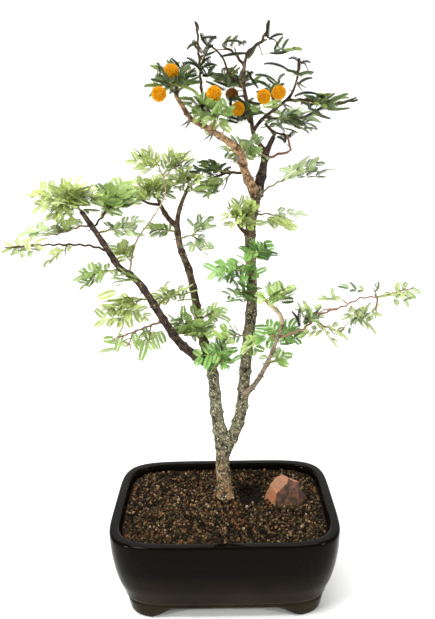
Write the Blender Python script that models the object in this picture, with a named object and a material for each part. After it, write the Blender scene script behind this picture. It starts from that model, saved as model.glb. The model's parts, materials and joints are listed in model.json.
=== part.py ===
"""Sweet acacia bonsai: a small thorny tree in a glazed rectangular pot, for Blender 4.5.

Metres, +Z up, table at z = 0, origin under the middle of the whole plant's box. The pot's own
centre lies at POT_X, POT_Y. Places in the lists of limbs and masses are in millimetres from the
pot's centre: x to the right, y away from the front, z up from the table.
"""
import math
import random
from collections import namedtuple

import bmesh
import bpy
import numpy as np
from mathutils import Vector, noise

MM = 0.001
GAP = 0.3 * MM
MERGE = 0.0005
POT_X = 8.0 * MM
POT_Y = -1.2 * MM

# Pot: outer half width and half depth of each level, from the feet to the rim
POT_POINTS = 32
POT_CORNER = 5.5
FOOT_HEIGHT = 13.0
ARCH_HEIGHT = 10.0
RIM_HEIGHT = 79.0
POT_OUTSIDE = [(84.8, 59.8, 0.0), (87.2, 62.2, FOOT_HEIGHT), (86.2, 61.4, 14.8), (88.6, 63.8, 17.2),
               (90.3, 65.8, 24.0), (93.4, 69.2, 33.0), (96.4, 72.4, 47.0), (98.4, 74.8, 64.0),
               (98.6, 75.0, 76.0), (96.6, 73.0, RIM_HEIGHT)]
POT_INSIDE = [(90.6, 67.0, RIM_HEIGHT), (88.6, 65.0, 70.0), (85.6, 62.0, 40.0), (79.0, 54.0, 18.0)]
FOOT_INNER = (72.0, 45.0)
ARCH_HALF_WIDTH = (66.0, 42.0)
ARCH_HALF_DEPTH = (36.0, 26.0)

# Soil: a block that fills the pot, lumpy on top but level where the trunk and the stone stand
SOIL_TOP = 73.6
SOIL_EDGE = 74.0
SOIL_RINGS = (0.88, 0.77, 0.66, 0.55, 0.44, 0.33, 0.22, 0.11)
LUMP_SIZE = 11.0
LUMP_HEIGHT = 2.4
HOLLOW_CENTRE = (24.0, 22.0)
HOLLOW_REACH = (13.0, 20.0)
HOLLOW_DEPTH = 4.5

# Stone: half width, half depth and height of a broken stone on the soil
STONE_CENTRE = (56.5, 5.5)
STONE_SIZE = (17.2, 13.5, 23.0)
STONE_POINTS = 22
STONE_FOOT = 0.9

# Level patches of the soil: middle and half sizes
SEATS = [((1.0, 12.0), (11.0, 11.0)), (STONE_CENTRE, (21.0, 15.5))]
SEAT_EDGE = 0.5

# Trunk and limbs: a parent, the height on it where the limb starts, the bends that it passes,
# and its radius at the root and the tip
TRUNK_PATH = [(1, 12, SOIL_TOP + 0.3), (0, 12, 91), (-1, 12, 109), (0, 12, 127)]
TRUNK_RADIUS = (6.5, 6.4)
FLARE = 2.3
FLARE_HEIGHT = 14.0
BUTTRESSES = 4
Limb = namedtuple("Limb", "name parent level bends root tip thorns")
LIMBS = [
    Limb("left_stem", "trunk", 124, [(-5, 14, 152), (-7, 17, 175), (-9, 20, 195), (-13, 22, 207)],
         5.9, 4.7, 0),
    Limb("right_stem", "trunk", 118, [(11, 11, 142), (17, 8, 167), (21, 6, 213), (26, 10, 262),
                                      (25, 14, 320), (31, 14, 353)], 5.4, 4.3, 0),
    Limb("left_bough", "left_stem", 201, [(-24, 14, 212), (-36, 5, 226), (-46, -4, 245), (-67, -18, 286),
                                          (-79, -22, 296), (-93, -28, 322), (-106, -31, 344)], 4.2, 1.9, 0),
    Limb("middle_bough", "left_stem", 204, [(-17, 32, 222), (-28, 50, 277), (-36, 52, 300), (-39, 52, 324)],
         4.2, 2.7, 0),
    Limb("middle_left_arm", "middle_bough", 320, [(-49, 58, 330), (-53, 62, 338), (-56, 64, 345)],
         2.5, 1.7, 0),
    Limb("middle_right_arm", "middle_bough", 321, [(-36, 48, 335), (-31, 44, 347), (-26, 40, 358)],
         2.2, 1.4, 0),
    Limb("right_bough", "right_stem", 174, [(30, -6, 195), (39, -22, 221), (46, -32, 244), (49, -34, 255)],
         2.5, 1.3, 0),
    Limb("crown_left_arm", "right_stem", 349, [(20, 2, 371), (15, -10, 387), (-9, -25, 404), (-20, -31, 410),
                                               (-31, -38, 427)], 4.1, 1.5, 3),
    Limb("crown_right_arm", "right_stem", 350, [(36, 24, 370), (39, 31, 382), (42, 33, 389), (46, 34, 397)], 4.7, 2.0, 0),
    Limb("crown_leader", "crown_right_arm", 383, [(30, 37, 397), (27, 34, 410), (21, 28, 435), (21, 26, 449),
                                                  (23, 24, 461)], 2.2, 1.2, 1),
    Limb("crown_right_shoot", "crown_leader", 401, [(36, 22, 411), (55, 4, 426), (60, -1, 437),
                                                    (62, -4, 447)], 1.7, 0.9, 2),
]
THORN_LENGTH = 11.0
THORN_RADIUS = 0.8

# Masses: a limb, the height on it where the stem starts, the bends of the stem, tufts that each
# give a space (middle and half sizes) and a number of leaves, and the flower heads
Tuft = namedtuple("Tuft", "middle half leaves")
Mass = namedtuple("Mass", "name limb level bends tufts flowers", defaults=[()])
MASSES = [
    Mass("far_left_shoot", "left_bough", 312, [(-103, -34, 318), (-131, -48, 321), (-158, -58, 321)],
         [Tuft((-144, -54, 319), (17, 12, 8), 3), Tuft((-124, -44, 312), (10, 10, 11), 2)]),
    Mass("left_side_spray", "left_bough", 333, [(-111, -28, 331), (-126, -26, 326), (-139, -24, 325)],
         [Tuft((-141, -24, 326), (20, 12, 9), 4), Tuft((-116, -26, 331), (11, 10, 7), 2)]),
    Mass("canopy_west", "left_bough", 343, [(-111, -33, 350), (-120, -36, 357)],
         [Tuft((-115, -34, 354), (26, 22, 13), 10), Tuft((-122, -30, 341), (12, 13, 9), 3)]),
    Mass("canopy_middle", "left_bough", 331, [(-90, -22, 340), (-83, -12, 352)],
         [Tuft((-83, -11, 351), (17, 22, 13), 9)]),
    Mass("canopy_east", "middle_left_arm", 344, [(-62, 60, 348), (-72, 50, 350)],
         [Tuft((-60, 52, 353), (22, 20, 12), 9)]),
    Mass("fork_leaf", "left_bough", 326, [(-87, -22, 328), (-80, -18, 329)],
         [Tuft((-76, -16, 328), (15, 12, 10), 3)]),
    Mass("west_hanging", "left_bough", 295, [(-90, -18, 295), (-102, -15, 291)],
         [Tuft((-103, -14, 289), (15, 11, 11), 3)]),
    Mass("knuckle_spray", "left_bough", 288, [(-73, -30, 290), (-75, -36, 291)],
         [Tuft((-75, -38, 292), (12, 11, 9), 3)]),
    Mass("lower_west", "left_bough", 270, [(-66, -26, 272), (-77, -36, 268)],
         [Tuft((-79, -36, 266), (20, 16, 17), 8)]),
    Mass("lower_middle", "left_bough", 260, [(-49, 0, 266), (-42, 8, 269)],
         [Tuft((-40, 10, 267), (20, 12, 11), 4)]),
    Mass("hanging_row", "left_bough", 249, [(-59, -16, 248), (-72, -28, 246), (-86, -36, 243)],
         [Tuft((-70, -28, 236), (27, 13, 14), 6)]),
    Mass("pale_shoot", "left_bough", 292, [(-71, -6, 308), (-68, 4, 317), (-54, 22, 336), (-46, 30, 352),
                                           (-48, 32, 368)],
         [Tuft((-80, -4, 308), (10, 9, 8), 2), Tuft((-61, 32, 379), (14, 14, 11), 4),
          Tuft((-36, 34, 378), (14, 14, 10), 3)]),
    Mass("inner_low", "middle_bough", 219, [(-26, 20, 231), (-33, 12, 238)],
         [Tuft((-29, 12, 237), (20, 15, 17), 7)]),
    Mass("inner_east", "middle_bough", 238, [(-12, 38, 242), (-7, 36, 244)],
         [Tuft((-7, 36, 242), (12, 12, 11), 3)]),
    Mass("knee_spray", "left_stem", 192, [(-4, 8, 205), (1, 2, 215)],
         [Tuft((-3, 2, 215), (17, 13, 18), 5)]),
    Mass("middle_side", "middle_bough", 309, [(-28, 50, 312), (-19, 48, 313)],
         [Tuft((-19, 50, 322), (14, 12, 9), 3), Tuft((-20, 48, 302), (13, 11, 9), 3)]),
    Mass("middle_west_leaf", "middle_bough", 315, [(-48, 54, 317), (-55, 56, 317)],
         [Tuft((-56, 56, 317), (13, 10, 7), 2)]),
    Mass("top_middle", "middle_right_arm", 357, [(-27, 39, 363), (-31, 38, 366)],
         [Tuft((-31, 40, 361), (16, 15, 10), 5)]),
    Mass("bridge_spray", "crown_left_arm", 368, [(9, 10, 369), (-1, 16, 366), (-9, 20, 363)],
         [Tuft((-7, 20, 369), (15, 14, 9), 4), Tuft((-4, 14, 355), (14, 13, 9), 3)]),
    Mass("crown_west", "crown_left_arm", 425, [(-30, -38, 433), (-30, -36, 438)],
         [Tuft((-32, -36, 435), (17, 18, 14), 8)], [(-42, -48, 427), (-33, -46, 442)]),
    Mass("crown_spire", "crown_left_arm", 406, [(-12, -22, 421), (-13, -18, 438), (-14, -16, 456),
                                                (-15, -14, 477)],
         [Tuft((-12, -16, 462), (12, 14, 8), 3), Tuft((-13, -14, 445), (12, 15, 8), 3)]),
    Mass("crown_middle", "crown_left_arm", 402, [(-2, -28, 410), (-8, -34, 417)],
         [Tuft((-10, -34, 416), (18, 18, 12), 7)], [(-3, -46, 427)]),
    Mass("crown_low", "crown_right_arm", 380, [(28, 20, 385), (21, 12, 388)],
         [Tuft((20, 10, 386), (18, 16, 12), 5)]),
    Mass("crown_heart", "crown_leader", 408, [(20, 24, 415), (14, 16, 421)],
         [Tuft((17, 16, 414), (16, 16, 13), 5)], [(15, 0, 418)]),
    Mass("crown_back", "crown_leader", 433, [(15, 36, 441), (8, 42, 444)],
         [Tuft((11, 42, 440), (21, 17, 12), 6)], [(11, 24, 430)]),
    Mass("crown_tip", "crown_leader", 460, [(29, 20, 466), (36, 16, 471), (40, 13, 484)],
         [Tuft((41, 16, 462), (20, 20, 12), 5)]),
    Mass("crown_tip_west", "crown_leader", 451, [(14, 32, 462), (5, 38, 468)],
         [Tuft((5, 37, 467), (17, 18, 10), 4)]),
    Mass("crown_east_top", "crown_right_shoot", 446, [(62, -5, 450), (62, -6, 454)],
         [Tuft((62, -6, 445), (13, 15, 12), 4)]),
    Mass("crown_flowers", "crown_right_shoot", 418, [(42, 0, 426), (39, -6, 431)],
         [Tuft((42, 0, 433), (13, 13, 12), 3)], [(34, -18, 426), (46, -12, 429)]),
    Mass("crown_east", "crown_right_shoot", 412, [(50, 28, 411), (60, 32, 409)],
         [Tuft((60, 32, 408), (23, 17, 12), 7)]),
    Mass("crown_far_east", "crown_right_shoot", 424, [(70, 7, 424), (90, 8, 421), (110, 8, 424)],
         [Tuft((82, 8, 418), (22, 16, 12), 5)]),
    Mass("elbow_twig", "crown_right_arm", 378, [(52, 33, 383), (60, 31, 385), (56, 30, 398)],
         [Tuft((50, 38, 396), (13, 12, 9), 2)]),
    Mass("east_leaf", "right_stem", 350, [(45, 12, 359), (62, 10, 366)],
         [Tuft((70, 8, 370), (19, 13, 9), 4)]),
    Mass("stem_yellow", "right_stem", 318, [(16, 4, 325), (13, -4, 333)],
         [Tuft((18, -4, 337), (15, 13, 12), 6)]),
    Mass("stem_east", "right_stem", 334, [(40, 10, 335), (50, 8, 332)],
         [Tuft((53, 8, 328), (17, 12, 12), 4)]),
    Mass("stem_green", "right_stem", 294, [(24, -2, 298), (26, -8, 306)],
         [Tuft((29, -8, 307), (14, 12, 10), 4), Tuft((10, -8, 291), (23, 13, 10), 5)]),
    Mass("stem_low_green", "right_stem", 267, [(22, -2, 271), (18, -8, 273)],
         [Tuft((18, -8, 272), (15, 12, 11), 4)]),
    Mass("right_bough_top", "right_bough", 254, [(46, -33, 261), (39, -28, 266), (34, -23, 270)],
         [Tuft((44, -27, 275), (15, 13, 9), 4)]),
    Mass("right_shoot", "right_bough", 240, [(65, -40, 251), (75, -46, 263), (92, -52, 271), (106, -56, 279),
                                             (119, -58, 280), (142, -63, 288)],
         [Tuft((65, -46, 264), (12, 11, 9), 4), Tuft((82, -40, 245), (18, 11, 8), 3),
          Tuft((83, -52, 278), (9, 10, 9), 2), Tuft((103, -59, 287), (14, 11, 6), 2),
          Tuft((108, -50, 261), (20, 12, 11), 4), Tuft((132, -63, 281), (12, 11, 10), 3)]),
    Mass("right_knot", "right_bough", 235, [(40, -16, 239), (34, -12, 240)],
         [Tuft((49, -14, 238), (21, 15, 11), 6)]),
    Mass("right_low_leaf", "right_bough", 210, [(42, -10, 213), (46, -6, 214)],
         [Tuft((45, -6, 214), (12, 11, 9), 2)]),
    Mass("stem_west_leaf", "right_stem", 229, [(14, -2, 235), (7, -6, 236)],
         [Tuft((2, -6, 236), (12, 11, 10), 2), Tuft((24, -14, 229), (11, 10, 8), 2)]),
]

# Leaves: each stands for one whole twice-cut leaf, a thin rib with pairs of leaflet rows
LEAF_SHARE = 0.34
LEAF_PAIRS = 2
LEAF_LENGTH = 27.0
PAIR_STEP = 0.45
ROW_LENGTH = 20.0
ROW_LIMIT = 0.85
ROW_SIZES = (1.0, 0.8, 0.62)
ROW_WIDTH = 10.5
ROW_WIDEST = 0.55
ROW_THICKNESS = 0.6
ROW_ROOT = 2.0
ROW_SPREAD = math.radians(58)
LEAF_TILT = 0.9
RIB_RADIUS = 0.6
STEM_RADIUS = (1.3, 0.8)
TWIG_RADIUS = 0.9
FLOWER_RADIUS = 6.0
EDGE_RADIUS = 1.2
CLEARANCE = 0.5
GOLDEN_ANGLE = math.pi * (3 - math.sqrt(5))

# Finishes: sRGB colour and roughness
GLAZE = ("dark brown glaze", "#1a1610", 0.12)
GRIT = ("granular soil", "#4a3a26", 0.95)
ROCK = ("rust-stained stone", "#a8683c", 0.85)
BARK = ("grey-brown bark", "#5d5238", 0.9)
DARK_BARK = ("dark bark", "#2c231a", 0.85)
TAN_BARK = ("tan young bark", "#a4774a", 0.75)
CANOPY_GREEN = ("yellow-green leaf", "#8fae3f", 0.6)
MIDDLE_GREEN = ("bright green leaf", "#5fa145", 0.6)
CROWN_GREEN = ("dark green leaf", "#3e5a2a", 0.6)
POLLEN = ("orange-yellow flower head", "#e79a0e", 0.8)
CROWN_LEVEL = 395
CANOPY_SIDE = -30


def clear_scene():
    for old in list(bpy.data.objects):
        bpy.data.objects.remove(old, do_unlink=True)


def linear(code):
    """An sRGB hex colour as linear red, green, blue and alpha."""
    parts = [int(code[i:i + 2], 16) / 255 for i in (1, 3, 5)]
    return [p / 12.92 if p <= 0.04045 else ((p + 0.055) / 1.055) ** 2.4 for p in parts] + [1.0]


def finish(look):
    """The Principled material of a finish, made once."""
    name, code, roughness = look
    material = bpy.data.materials.get(name)
    if material is None:
        material = bpy.data.materials.new(name)
        material.use_nodes = True
        shader = material.node_tree.nodes["Principled BSDF"]
        shader.inputs["Base Color"].default_value = linear(code)
        shader.inputs["Roughness"].default_value = roughness
        material.diffuse_color = linear(code)
    return material


def place(point):
    """A point in millimetres from the pot's centre as a place in the model."""
    x, y, z = point
    return Vector((x * MM + POT_X, y * MM + POT_Y, z * MM))


def new_object(name, bm, look, smooth=False):
    bmesh.ops.recalc_face_normals(bm, faces=bm.faces)
    mesh = bpy.data.meshes.new(name)
    bm.to_mesh(mesh)
    bm.free()
    mesh.materials.append(finish(look))
    if smooth:
        mesh.shade_smooth()
        mesh.set_sharp_from_angle(angle=math.radians(40))
    body = bpy.data.objects.new(name, mesh)
    bpy.context.scene.collection.objects.link(body)
    return body


def loft(bm, rings):
    """Skin a list of rings of points, with a flat cap on the first and the last."""
    loops = [[bm.verts.new(p) for p in ring] for ring in rings]
    for low, high in zip(loops, loops[1:]):
        for i in range(len(low)):
            j = (i + 1) % len(low)
            bm.faces.new((low[i], low[j], high[j], high[i]))
    bm.faces.new(loops[0])
    bm.faces.new(loops[-1])


def super_ring(half_width, half_depth, height):
    """A ring of the pot's rounded rectangle."""
    ring = []
    for i in range(POT_POINTS):
        angle = 2 * math.pi * i / POT_POINTS
        c = math.cos(angle)
        s = math.sin(angle)
        x = math.copysign(abs(c) ** (2 / POT_CORNER), c) * half_width
        y = math.copysign(abs(s) ** (2 / POT_CORNER), s) * half_depth
        ring.append(place((x, y, height)))
    return ring


def smooth_path(points, spacing):
    """Evenly spaced points on a smooth curve through the given ones."""
    ends = [points[0] * 2 - points[1]] + list(points) + [points[-1] * 2 - points[-2]]
    fine = []
    for a, b, c, d in zip(ends, ends[1:], ends[2:], ends[3:]):
        for step in range(12):
            t = step / 12
            fine.append(0.5 * (2 * b + (c - a) * t + (2 * a - 5 * b + 4 * c - d) * t ** 2
                               + (3 * b - a - 3 * c + d) * t ** 3))
    fine.append(points[-1])
    run = [0.0]
    for a, b in zip(fine, fine[1:]):
        run.append(run[-1] + (b - a).length)
    count = max(3, round(run[-1] / spacing) + 1)
    marks = np.linspace(0, run[-1], count)
    columns = [np.interp(marks, run, [p[axis] for p in fine]) for axis in range(3)]
    return [Vector(values) for values in zip(*columns)]


def tube_rings(path, radius_at, sides, grow=0.0):
    """Rings along a path that turn with it; grow moves the skin and both ends outwards."""
    path = list(path)
    first = (path[1] - path[0]).normalized()
    last = (path[-1] - path[-2]).normalized()
    path[0] = path[0] - first * grow
    path[-1] = path[-1] + last * grow
    side = first.orthogonal().normalized()
    rings = []
    for i, centre in enumerate(path):
        ahead = (path[min(i + 1, len(path) - 1)] - path[max(i - 1, 0)]).normalized()
        side = (side - ahead * side.dot(ahead)).normalized()
        other = ahead.cross(side)
        ring = []
        for k in range(sides):
            angle = 2 * math.pi * k / sides
            radius = radius_at(i / (len(path) - 1), angle) + grow / math.cos(math.pi / sides)
            ring.append(centre + (side * math.cos(angle) + other * math.sin(angle)) * radius)
        rings.append(ring)
    return rings


def tube(name, path, radius_at, sides, look, grow=0.0, smooth=True, flat_foot=False):
    rings = tube_rings(path, radius_at, sides, grow)
    if flat_foot:
        rings[0] = [Vector((p.x, p.y, path[0].z)) for p in rings[0]]
    bm = bmesh.new()
    loft(bm, rings)
    return new_object(name, bm, look, smooth)


def shells(bm):
    """The separate shells of a mesh, as lists of faces that meet along edges."""
    seen = set()
    for start in bm.faces:
        if start in seen:
            continue
        shell = []
        stack = [start]
        seen.add(start)
        while stack:
            face = stack.pop()
            shell.append(face)
            beside = {f for edge in face.edges for f in edge.link_faces} - seen
            seen |= beside
            stack += beside
        yield shell


def main_body(mesh):
    """Drop loose scraps and fill sealed hollows: the widest shell, or None where it isn't closed."""
    bm = bmesh.new()
    bm.from_mesh(mesh)
    bmesh.ops.triangulate(bm, faces=bm.faces)
    bmesh.ops.remove_doubles(bm, verts=bm.verts, dist=MERGE * MM)

    def width(shell):
        places = [v.co for face in shell for v in face.verts]
        return sum(max(p[a] for p in places) - min(p[a] for p in places) for a in range(3))

    ordered = sorted(shells(bm), key=width)
    bmesh.ops.delete(bm, geom=[face for shell in ordered[:-1] for face in shell], context="FACES")
    closed = len(bm.faces) > 3 and all(len(edge.link_faces) == 2 for edge in bm.edges)
    if closed:
        bm.to_mesh(mesh)
    bm.free()
    return mesh if closed else None


def solve(body, operation, group):
    """The body's mesh after a Boolean with a collection, by the first solver that closes it."""
    for solver in ("EXACT", "MANIFOLD"):
        modifier = body.modifiers.new(operation, "BOOLEAN")
        modifier.operation = operation
        modifier.solver = solver
        modifier.operand_type = "COLLECTION"
        modifier.material_mode = "TRANSFER"
        modifier.collection = group
        view = bpy.context.evaluated_depsgraph_get()
        mesh = main_body(bpy.data.meshes.new_from_object(body.evaluated_get(view)))
        body.modifiers.remove(modifier)
        if mesh:
            return mesh
    return None


def solve_with_fewer(body, group, operands):
    """A union that neither solver closes is solved again without one leaf, the first that helps."""
    for spare in operands[::-1]:
        group.objects.unlink(spare)
        mesh = solve(body, "UNION", group)
        if mesh:
            break
        group.objects.link(spare)
    if mesh is None:
        group.objects.unlink(spare)
    operands.remove(spare)
    bpy.data.objects.remove(spare, do_unlink=True)
    return mesh


def boolean(body, operation, operands):
    """One applied Boolean of a body with a collection of operands, which are then removed."""
    group = bpy.data.collections.new("operands")
    bpy.context.scene.collection.children.link(group)
    operands = list(operands)
    for operand in operands:
        bpy.context.scene.collection.objects.unlink(operand)
        group.objects.link(operand)
    mesh = solve(body, operation, group)
    while mesh is None:
        if operation != "UNION" or len(operands) < 2:
            raise RuntimeError(body.name + " can't be closed")
        mesh = solve_with_fewer(body, group, operands)
    body.data = mesh
    for operand in operands:
        bpy.data.objects.remove(operand, do_unlink=True)
    bpy.data.collections.remove(group)


def wedge(name, half_bottom, half_top, length, across):
    """A cutter with sloping sides for the arch between two feet."""
    bm = bmesh.new()
    rings = []
    for end in (-length, length):
        outline = [(-half_bottom, -1.0), (half_bottom, -1.0), (half_top, ARCH_HEIGHT),
                   (-half_top, ARCH_HEIGHT)]
        ring = [(end, a, z) if across else (a, end, z) for a, z in outline]
        rings.append([place(p) for p in ring])
    loft(bm, rings)
    return new_object(name, bm, GLAZE)


def make_pot():
    """Outside, rim and inside in one loft, then an arch between the feet on each side."""
    underside = [(*FOOT_INNER, ARCH_HEIGHT + 1.0), (FOOT_INNER[0] + 1, FOOT_INNER[1] + 1, 0.0)]
    bm = bmesh.new()
    loft(bm, [super_ring(*level) for level in underside + POT_OUTSIDE + POT_INSIDE])
    pot = new_object("pot", bm, GLAZE, smooth=True)
    reach = POT_OUTSIDE[-1][0] + 10
    arches = [wedge("arch", *ARCH_HALF_WIDTH, reach, False), wedge("arch", *ARCH_HALF_DEPTH, reach, True)]
    boolean(pot, "DIFFERENCE", arches)
    pot.data.shade_smooth()
    pot.data.set_sharp_from_angle(angle=math.radians(40))


def inside_at(height):
    """Half width and half depth of the pot's inside at a height."""
    heights = [level[2] for level in reversed(POT_INSIDE)]
    return [np.interp(height, heights, [level[axis] for level in reversed(POT_INSIDE)]) for axis in (0, 1)]


def ellipse(x, y, middle, half):
    """How far a place lies from an ellipse's middle, as a share of the way to its edge."""
    return math.hypot((x - middle[0]) / half[0], (y - middle[1]) / half[1])


def soil_height(x, y):
    """The height of the soil in millimetres: lumps and one hollow, level where something stands."""
    away = min(ellipse(x, y, *seat) for seat in SEATS) - 1
    free = np.clip(away / SEAT_EDGE, 0, 1)
    lump = np.clip(0.5 - noise.noise(Vector((x, y, 0)) / LUMP_SIZE), 0, 1)
    hollow = math.exp(-ellipse(x, y, HOLLOW_CENTRE, HOLLOW_REACH) ** 2)
    return SOIL_TOP - free * (LUMP_HEIGHT * lump + HOLLOW_DEPTH * hollow)


def make_soil():
    floor = POT_INSIDE[-1][2]
    slack = 2 * GAP / MM
    levels = [floor + GAP / MM, POT_INSIDE[-2][2], POT_INSIDE[-3][2], SOIL_EDGE]
    rings = []
    for height in levels:
        half_width, half_depth = inside_at(height)
        rings.append(super_ring(half_width - slack, half_depth - slack, height))
    half_width, half_depth = inside_at(SOIL_EDGE)
    for share in SOIL_RINGS:
        ring = super_ring(half_width * share, half_depth * share, 0)
        for point in ring:
            point.z = soil_height((point.x - POT_X) / MM, (point.y - POT_Y) / MM) * MM
        rings.append(ring)
    bm = bmesh.new()
    loft(bm, rings)
    bmesh.ops.triangulate(bm, faces=bm.faces)
    new_object("soil", bm, GRIT)


def make_stone():
    """A broken stone: the hull of seeded points, flat underneath."""
    rnd = random.Random("stone")
    bm = bmesh.new()
    for i in range(STONE_POINTS):
        height = (i + 0.5) / STONE_POINTS
        angle = GOLDEN_ANGLE * i + rnd.uniform(-0.3, 0.3)
        reach = math.sqrt(1 - height ** 2) * rnd.uniform(0.78, 1.0)
        bm.verts.new(place((STONE_CENTRE[0] + STONE_SIZE[0] * reach * math.cos(angle),
                            STONE_CENTRE[1] + STONE_SIZE[1] * reach * math.sin(angle),
                            SOIL_TOP + 0.3 + STONE_SIZE[2] * height)))
        if i % 3 == 0:
            bm.verts.new(place((STONE_CENTRE[0] + STONE_SIZE[0] * STONE_FOOT * math.cos(angle),
                                STONE_CENTRE[1] + STONE_SIZE[1] * STONE_FOOT * math.sin(angle),
                                SOIL_TOP + 0.3)))
    hull = bmesh.ops.convex_hull(bm, input=bm.verts)
    loose = [item for item in hull["geom_interior"] if isinstance(item, bmesh.types.BMVert)]
    bmesh.ops.delete(bm, geom=loose, context="VERTS")
    new_object("stone", bm, ROCK)


class Skeleton:
    """Each limb's path, radius, sides and thorns, and the rods that later growth must keep clear of."""

    def __init__(self):
        self.limbs = {}
        self.starts = []
        self.ends = []
        self.widths = []
        self.owners = []

    def block(self, owner, start, end, radius):
        self.starts.append(start)
        self.ends.append(end)
        self.widths.append(radius)
        self.owners.append(owner)

    def touched(self, owner, start, end, radius):
        """The names of the other owners whose rods a rod comes too close to."""
        low = np.array(self.starts)
        along = np.array(self.ends) - low
        size = np.maximum((along ** 2).sum(axis=1), 1e-12)
        reach = np.array(self.widths) + radius + CLEARANCE * MM
        close = np.zeros(len(low), dtype=bool)
        for share in np.linspace(0, 1, 7):
            point = np.array(start.lerp(end, share))
            t = np.clip(((point - low) * along).sum(axis=1) / size, 0, 1)
            close |= np.linalg.norm(low + along * t[:, None] - point, axis=1) < reach
        return {name for name, near in zip(self.owners, close) if near and name != owner}

    def is_clear(self, owner, start, end, radius):
        return not self.touched(owner, start, end, radius)

    def node(self, limb, level):
        """The point of a limb's centre line at a height in millimetres."""
        path = self.limbs[limb][0]
        for low, high in zip(path, path[1:]):
            if low.z <= level * MM <= high.z:
                return low.lerp(high, (level * MM - low.z) / (high.z - low.z))
        return path[-1].copy()


def limb_sides(root):
    return 4 + round(root)


def taper(root, tip):
    return lambda share, angle: (root + (tip - root) * share) * MM


def trunk_radius(share, angle):
    """The trunk's taper with a flare of low buttresses at the soil."""
    height = share * (TRUNK_PATH[-1][2] - TRUNK_PATH[0][2])
    flare = FLARE * math.exp(-3 * height / FLARE_HEIGHT) * (1 + 0.35 * math.cos(BUTTRESSES * angle + 0.6))
    return (TRUNK_RADIUS[0] + (TRUNK_RADIUS[1] - TRUNK_RADIUS[0]) * share + flare) * MM


def thorn_pairs(name, path, pairs):
    """The feet and tips of a limb's paired spines, spread along it and pointing out and down."""
    rnd = random.Random(name)
    ahead = (path[-1] - path[0]).normalized()
    spines = []
    for k in range(pairs):
        foot = path[2 + (k + 1) * (len(path) - 2) // (pairs + 1)]
        side = Vector((math.copysign(0.9, ahead.x), rnd.uniform(-0.5, 0.1), -0.55))
        side = (side - ahead * side.dot(ahead)).normalized()
        for turn in (-0.45, 0.45):
            heading = (side + ahead.cross(side) * turn).normalized()
            spines.append((foot, foot + heading * THORN_LENGTH * MM))
    return spines


def bark_of(name):
    if name in ("trunk", "left_stem", "right_stem"):
        return BARK
    return TAN_BARK if name == "crown_left_arm" else DARK_BARK


def limb_pieces(skeleton, name, grow=0.0):
    """The tube of a limb and its thorns; grow makes the cutters that keep others clear of them."""
    path, radius_at, sides, spines = skeleton.limbs[name]
    flat_foot = name == "trunk" and not grow
    pieces = [tube(name, path, radius_at, sides, bark_of(name), grow, flat_foot=flat_foot)]
    for foot, tip in spines:
        pieces.append(tube("thorn", [foot, tip], lambda share, angle: THORN_RADIUS * MM * (1.05 - share), 3,
                           bark_of(name), grow, smooth=False))
    return pieces


def cutters_of(skeleton, names):
    """Limbs grown by the gap, for cutting others clear of them."""
    return [piece for name in names for piece in limb_pieces(skeleton, name, GAP)]


def make_limb(skeleton, name, path, radius_at, sides, cutters, thorns=0):
    """One tapering limb, cut to sit a hair's breadth off its parent and its elder neighbours."""
    skeleton.limbs[name] = (path, radius_at, sides, thorn_pairs(name, path, thorns))
    pieces = limb_pieces(skeleton, name)
    if thorns:
        boolean(pieces[0], "UNION", pieces[1:])
    if cutters:
        boolean(pieces[0], "DIFFERENCE", cutters_of(skeleton, cutters))
    for i, (low, high) in enumerate(zip(path, path[1:])):
        widest = max(radius_at(i / (len(path) - 1), math.pi / 4 * k) for k in range(8))
        skeleton.block(name, low, high, widest)
    for foot, tip in skeleton.limbs[name][3]:
        skeleton.block(name, foot, tip, THORN_RADIUS * MM)


def make_limbs(skeleton):
    trunk_path = smooth_path([place(p) for p in TRUNK_PATH], 5 * MM)
    make_limb(skeleton, "trunk", trunk_path, trunk_radius, 14, [])
    families = {}
    for limb in LIMBS:
        points = [skeleton.node(limb.parent, limb.level)] + [place(p) for p in limb.bends]
        path = smooth_path(points, 11 * MM)
        elders = families.setdefault(limb.parent, [])
        make_limb(skeleton, limb.name, path, taper(limb.root, limb.tip), limb_sides(limb.root),
                  [limb.parent] + elders, limb.thorns)
        elders.append(limb.name)


def leaf_body(name, base, tip, normal, rows, look):
    """A three-sided rib whose slopes open into leaflet rows, each a thin blade with a ridge."""
    ahead = (tip - base).normalized()
    across = ahead.cross(normal).normalized()
    rib = (tip - base).length
    marks = [0.0]
    for pair in range(LEAF_PAIRS):
        end = rib * (1 - PAIR_STEP * (LEAF_PAIRS - 1 - pair))
        marks += [end - ROW_ROOT * MM, end]
    bm = bmesh.new()
    sections = []
    for mark in marks:
        centre = base + ahead * mark
        corners = (normal, -across - normal * 0.5, across - normal * 0.5)
        sections.append([bm.verts.new(centre + corner * RIB_RADIUS * MM) for corner in corners])
    bm.faces.new(sections[0])
    bm.faces.new(sections[-1])
    for i, (low, high) in enumerate(zip(sections, sections[1:])):
        bm.faces.new((low[1], low[2], high[2], high[1]))
        for corner, side in ((1, -1), (2, 1)):
            slope = (low[0], low[corner], high[corner], high[0])
            row = rows.get((i // 2, side)) if i % 2 else None
            if row is None:
                bm.faces.new(slope)
            else:
                add_row(bm, slope, row, normal, row_width(rib))
    bmesh.ops.triangulate(bm, faces=bm.faces)
    return new_object(name, bm, look)


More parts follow.
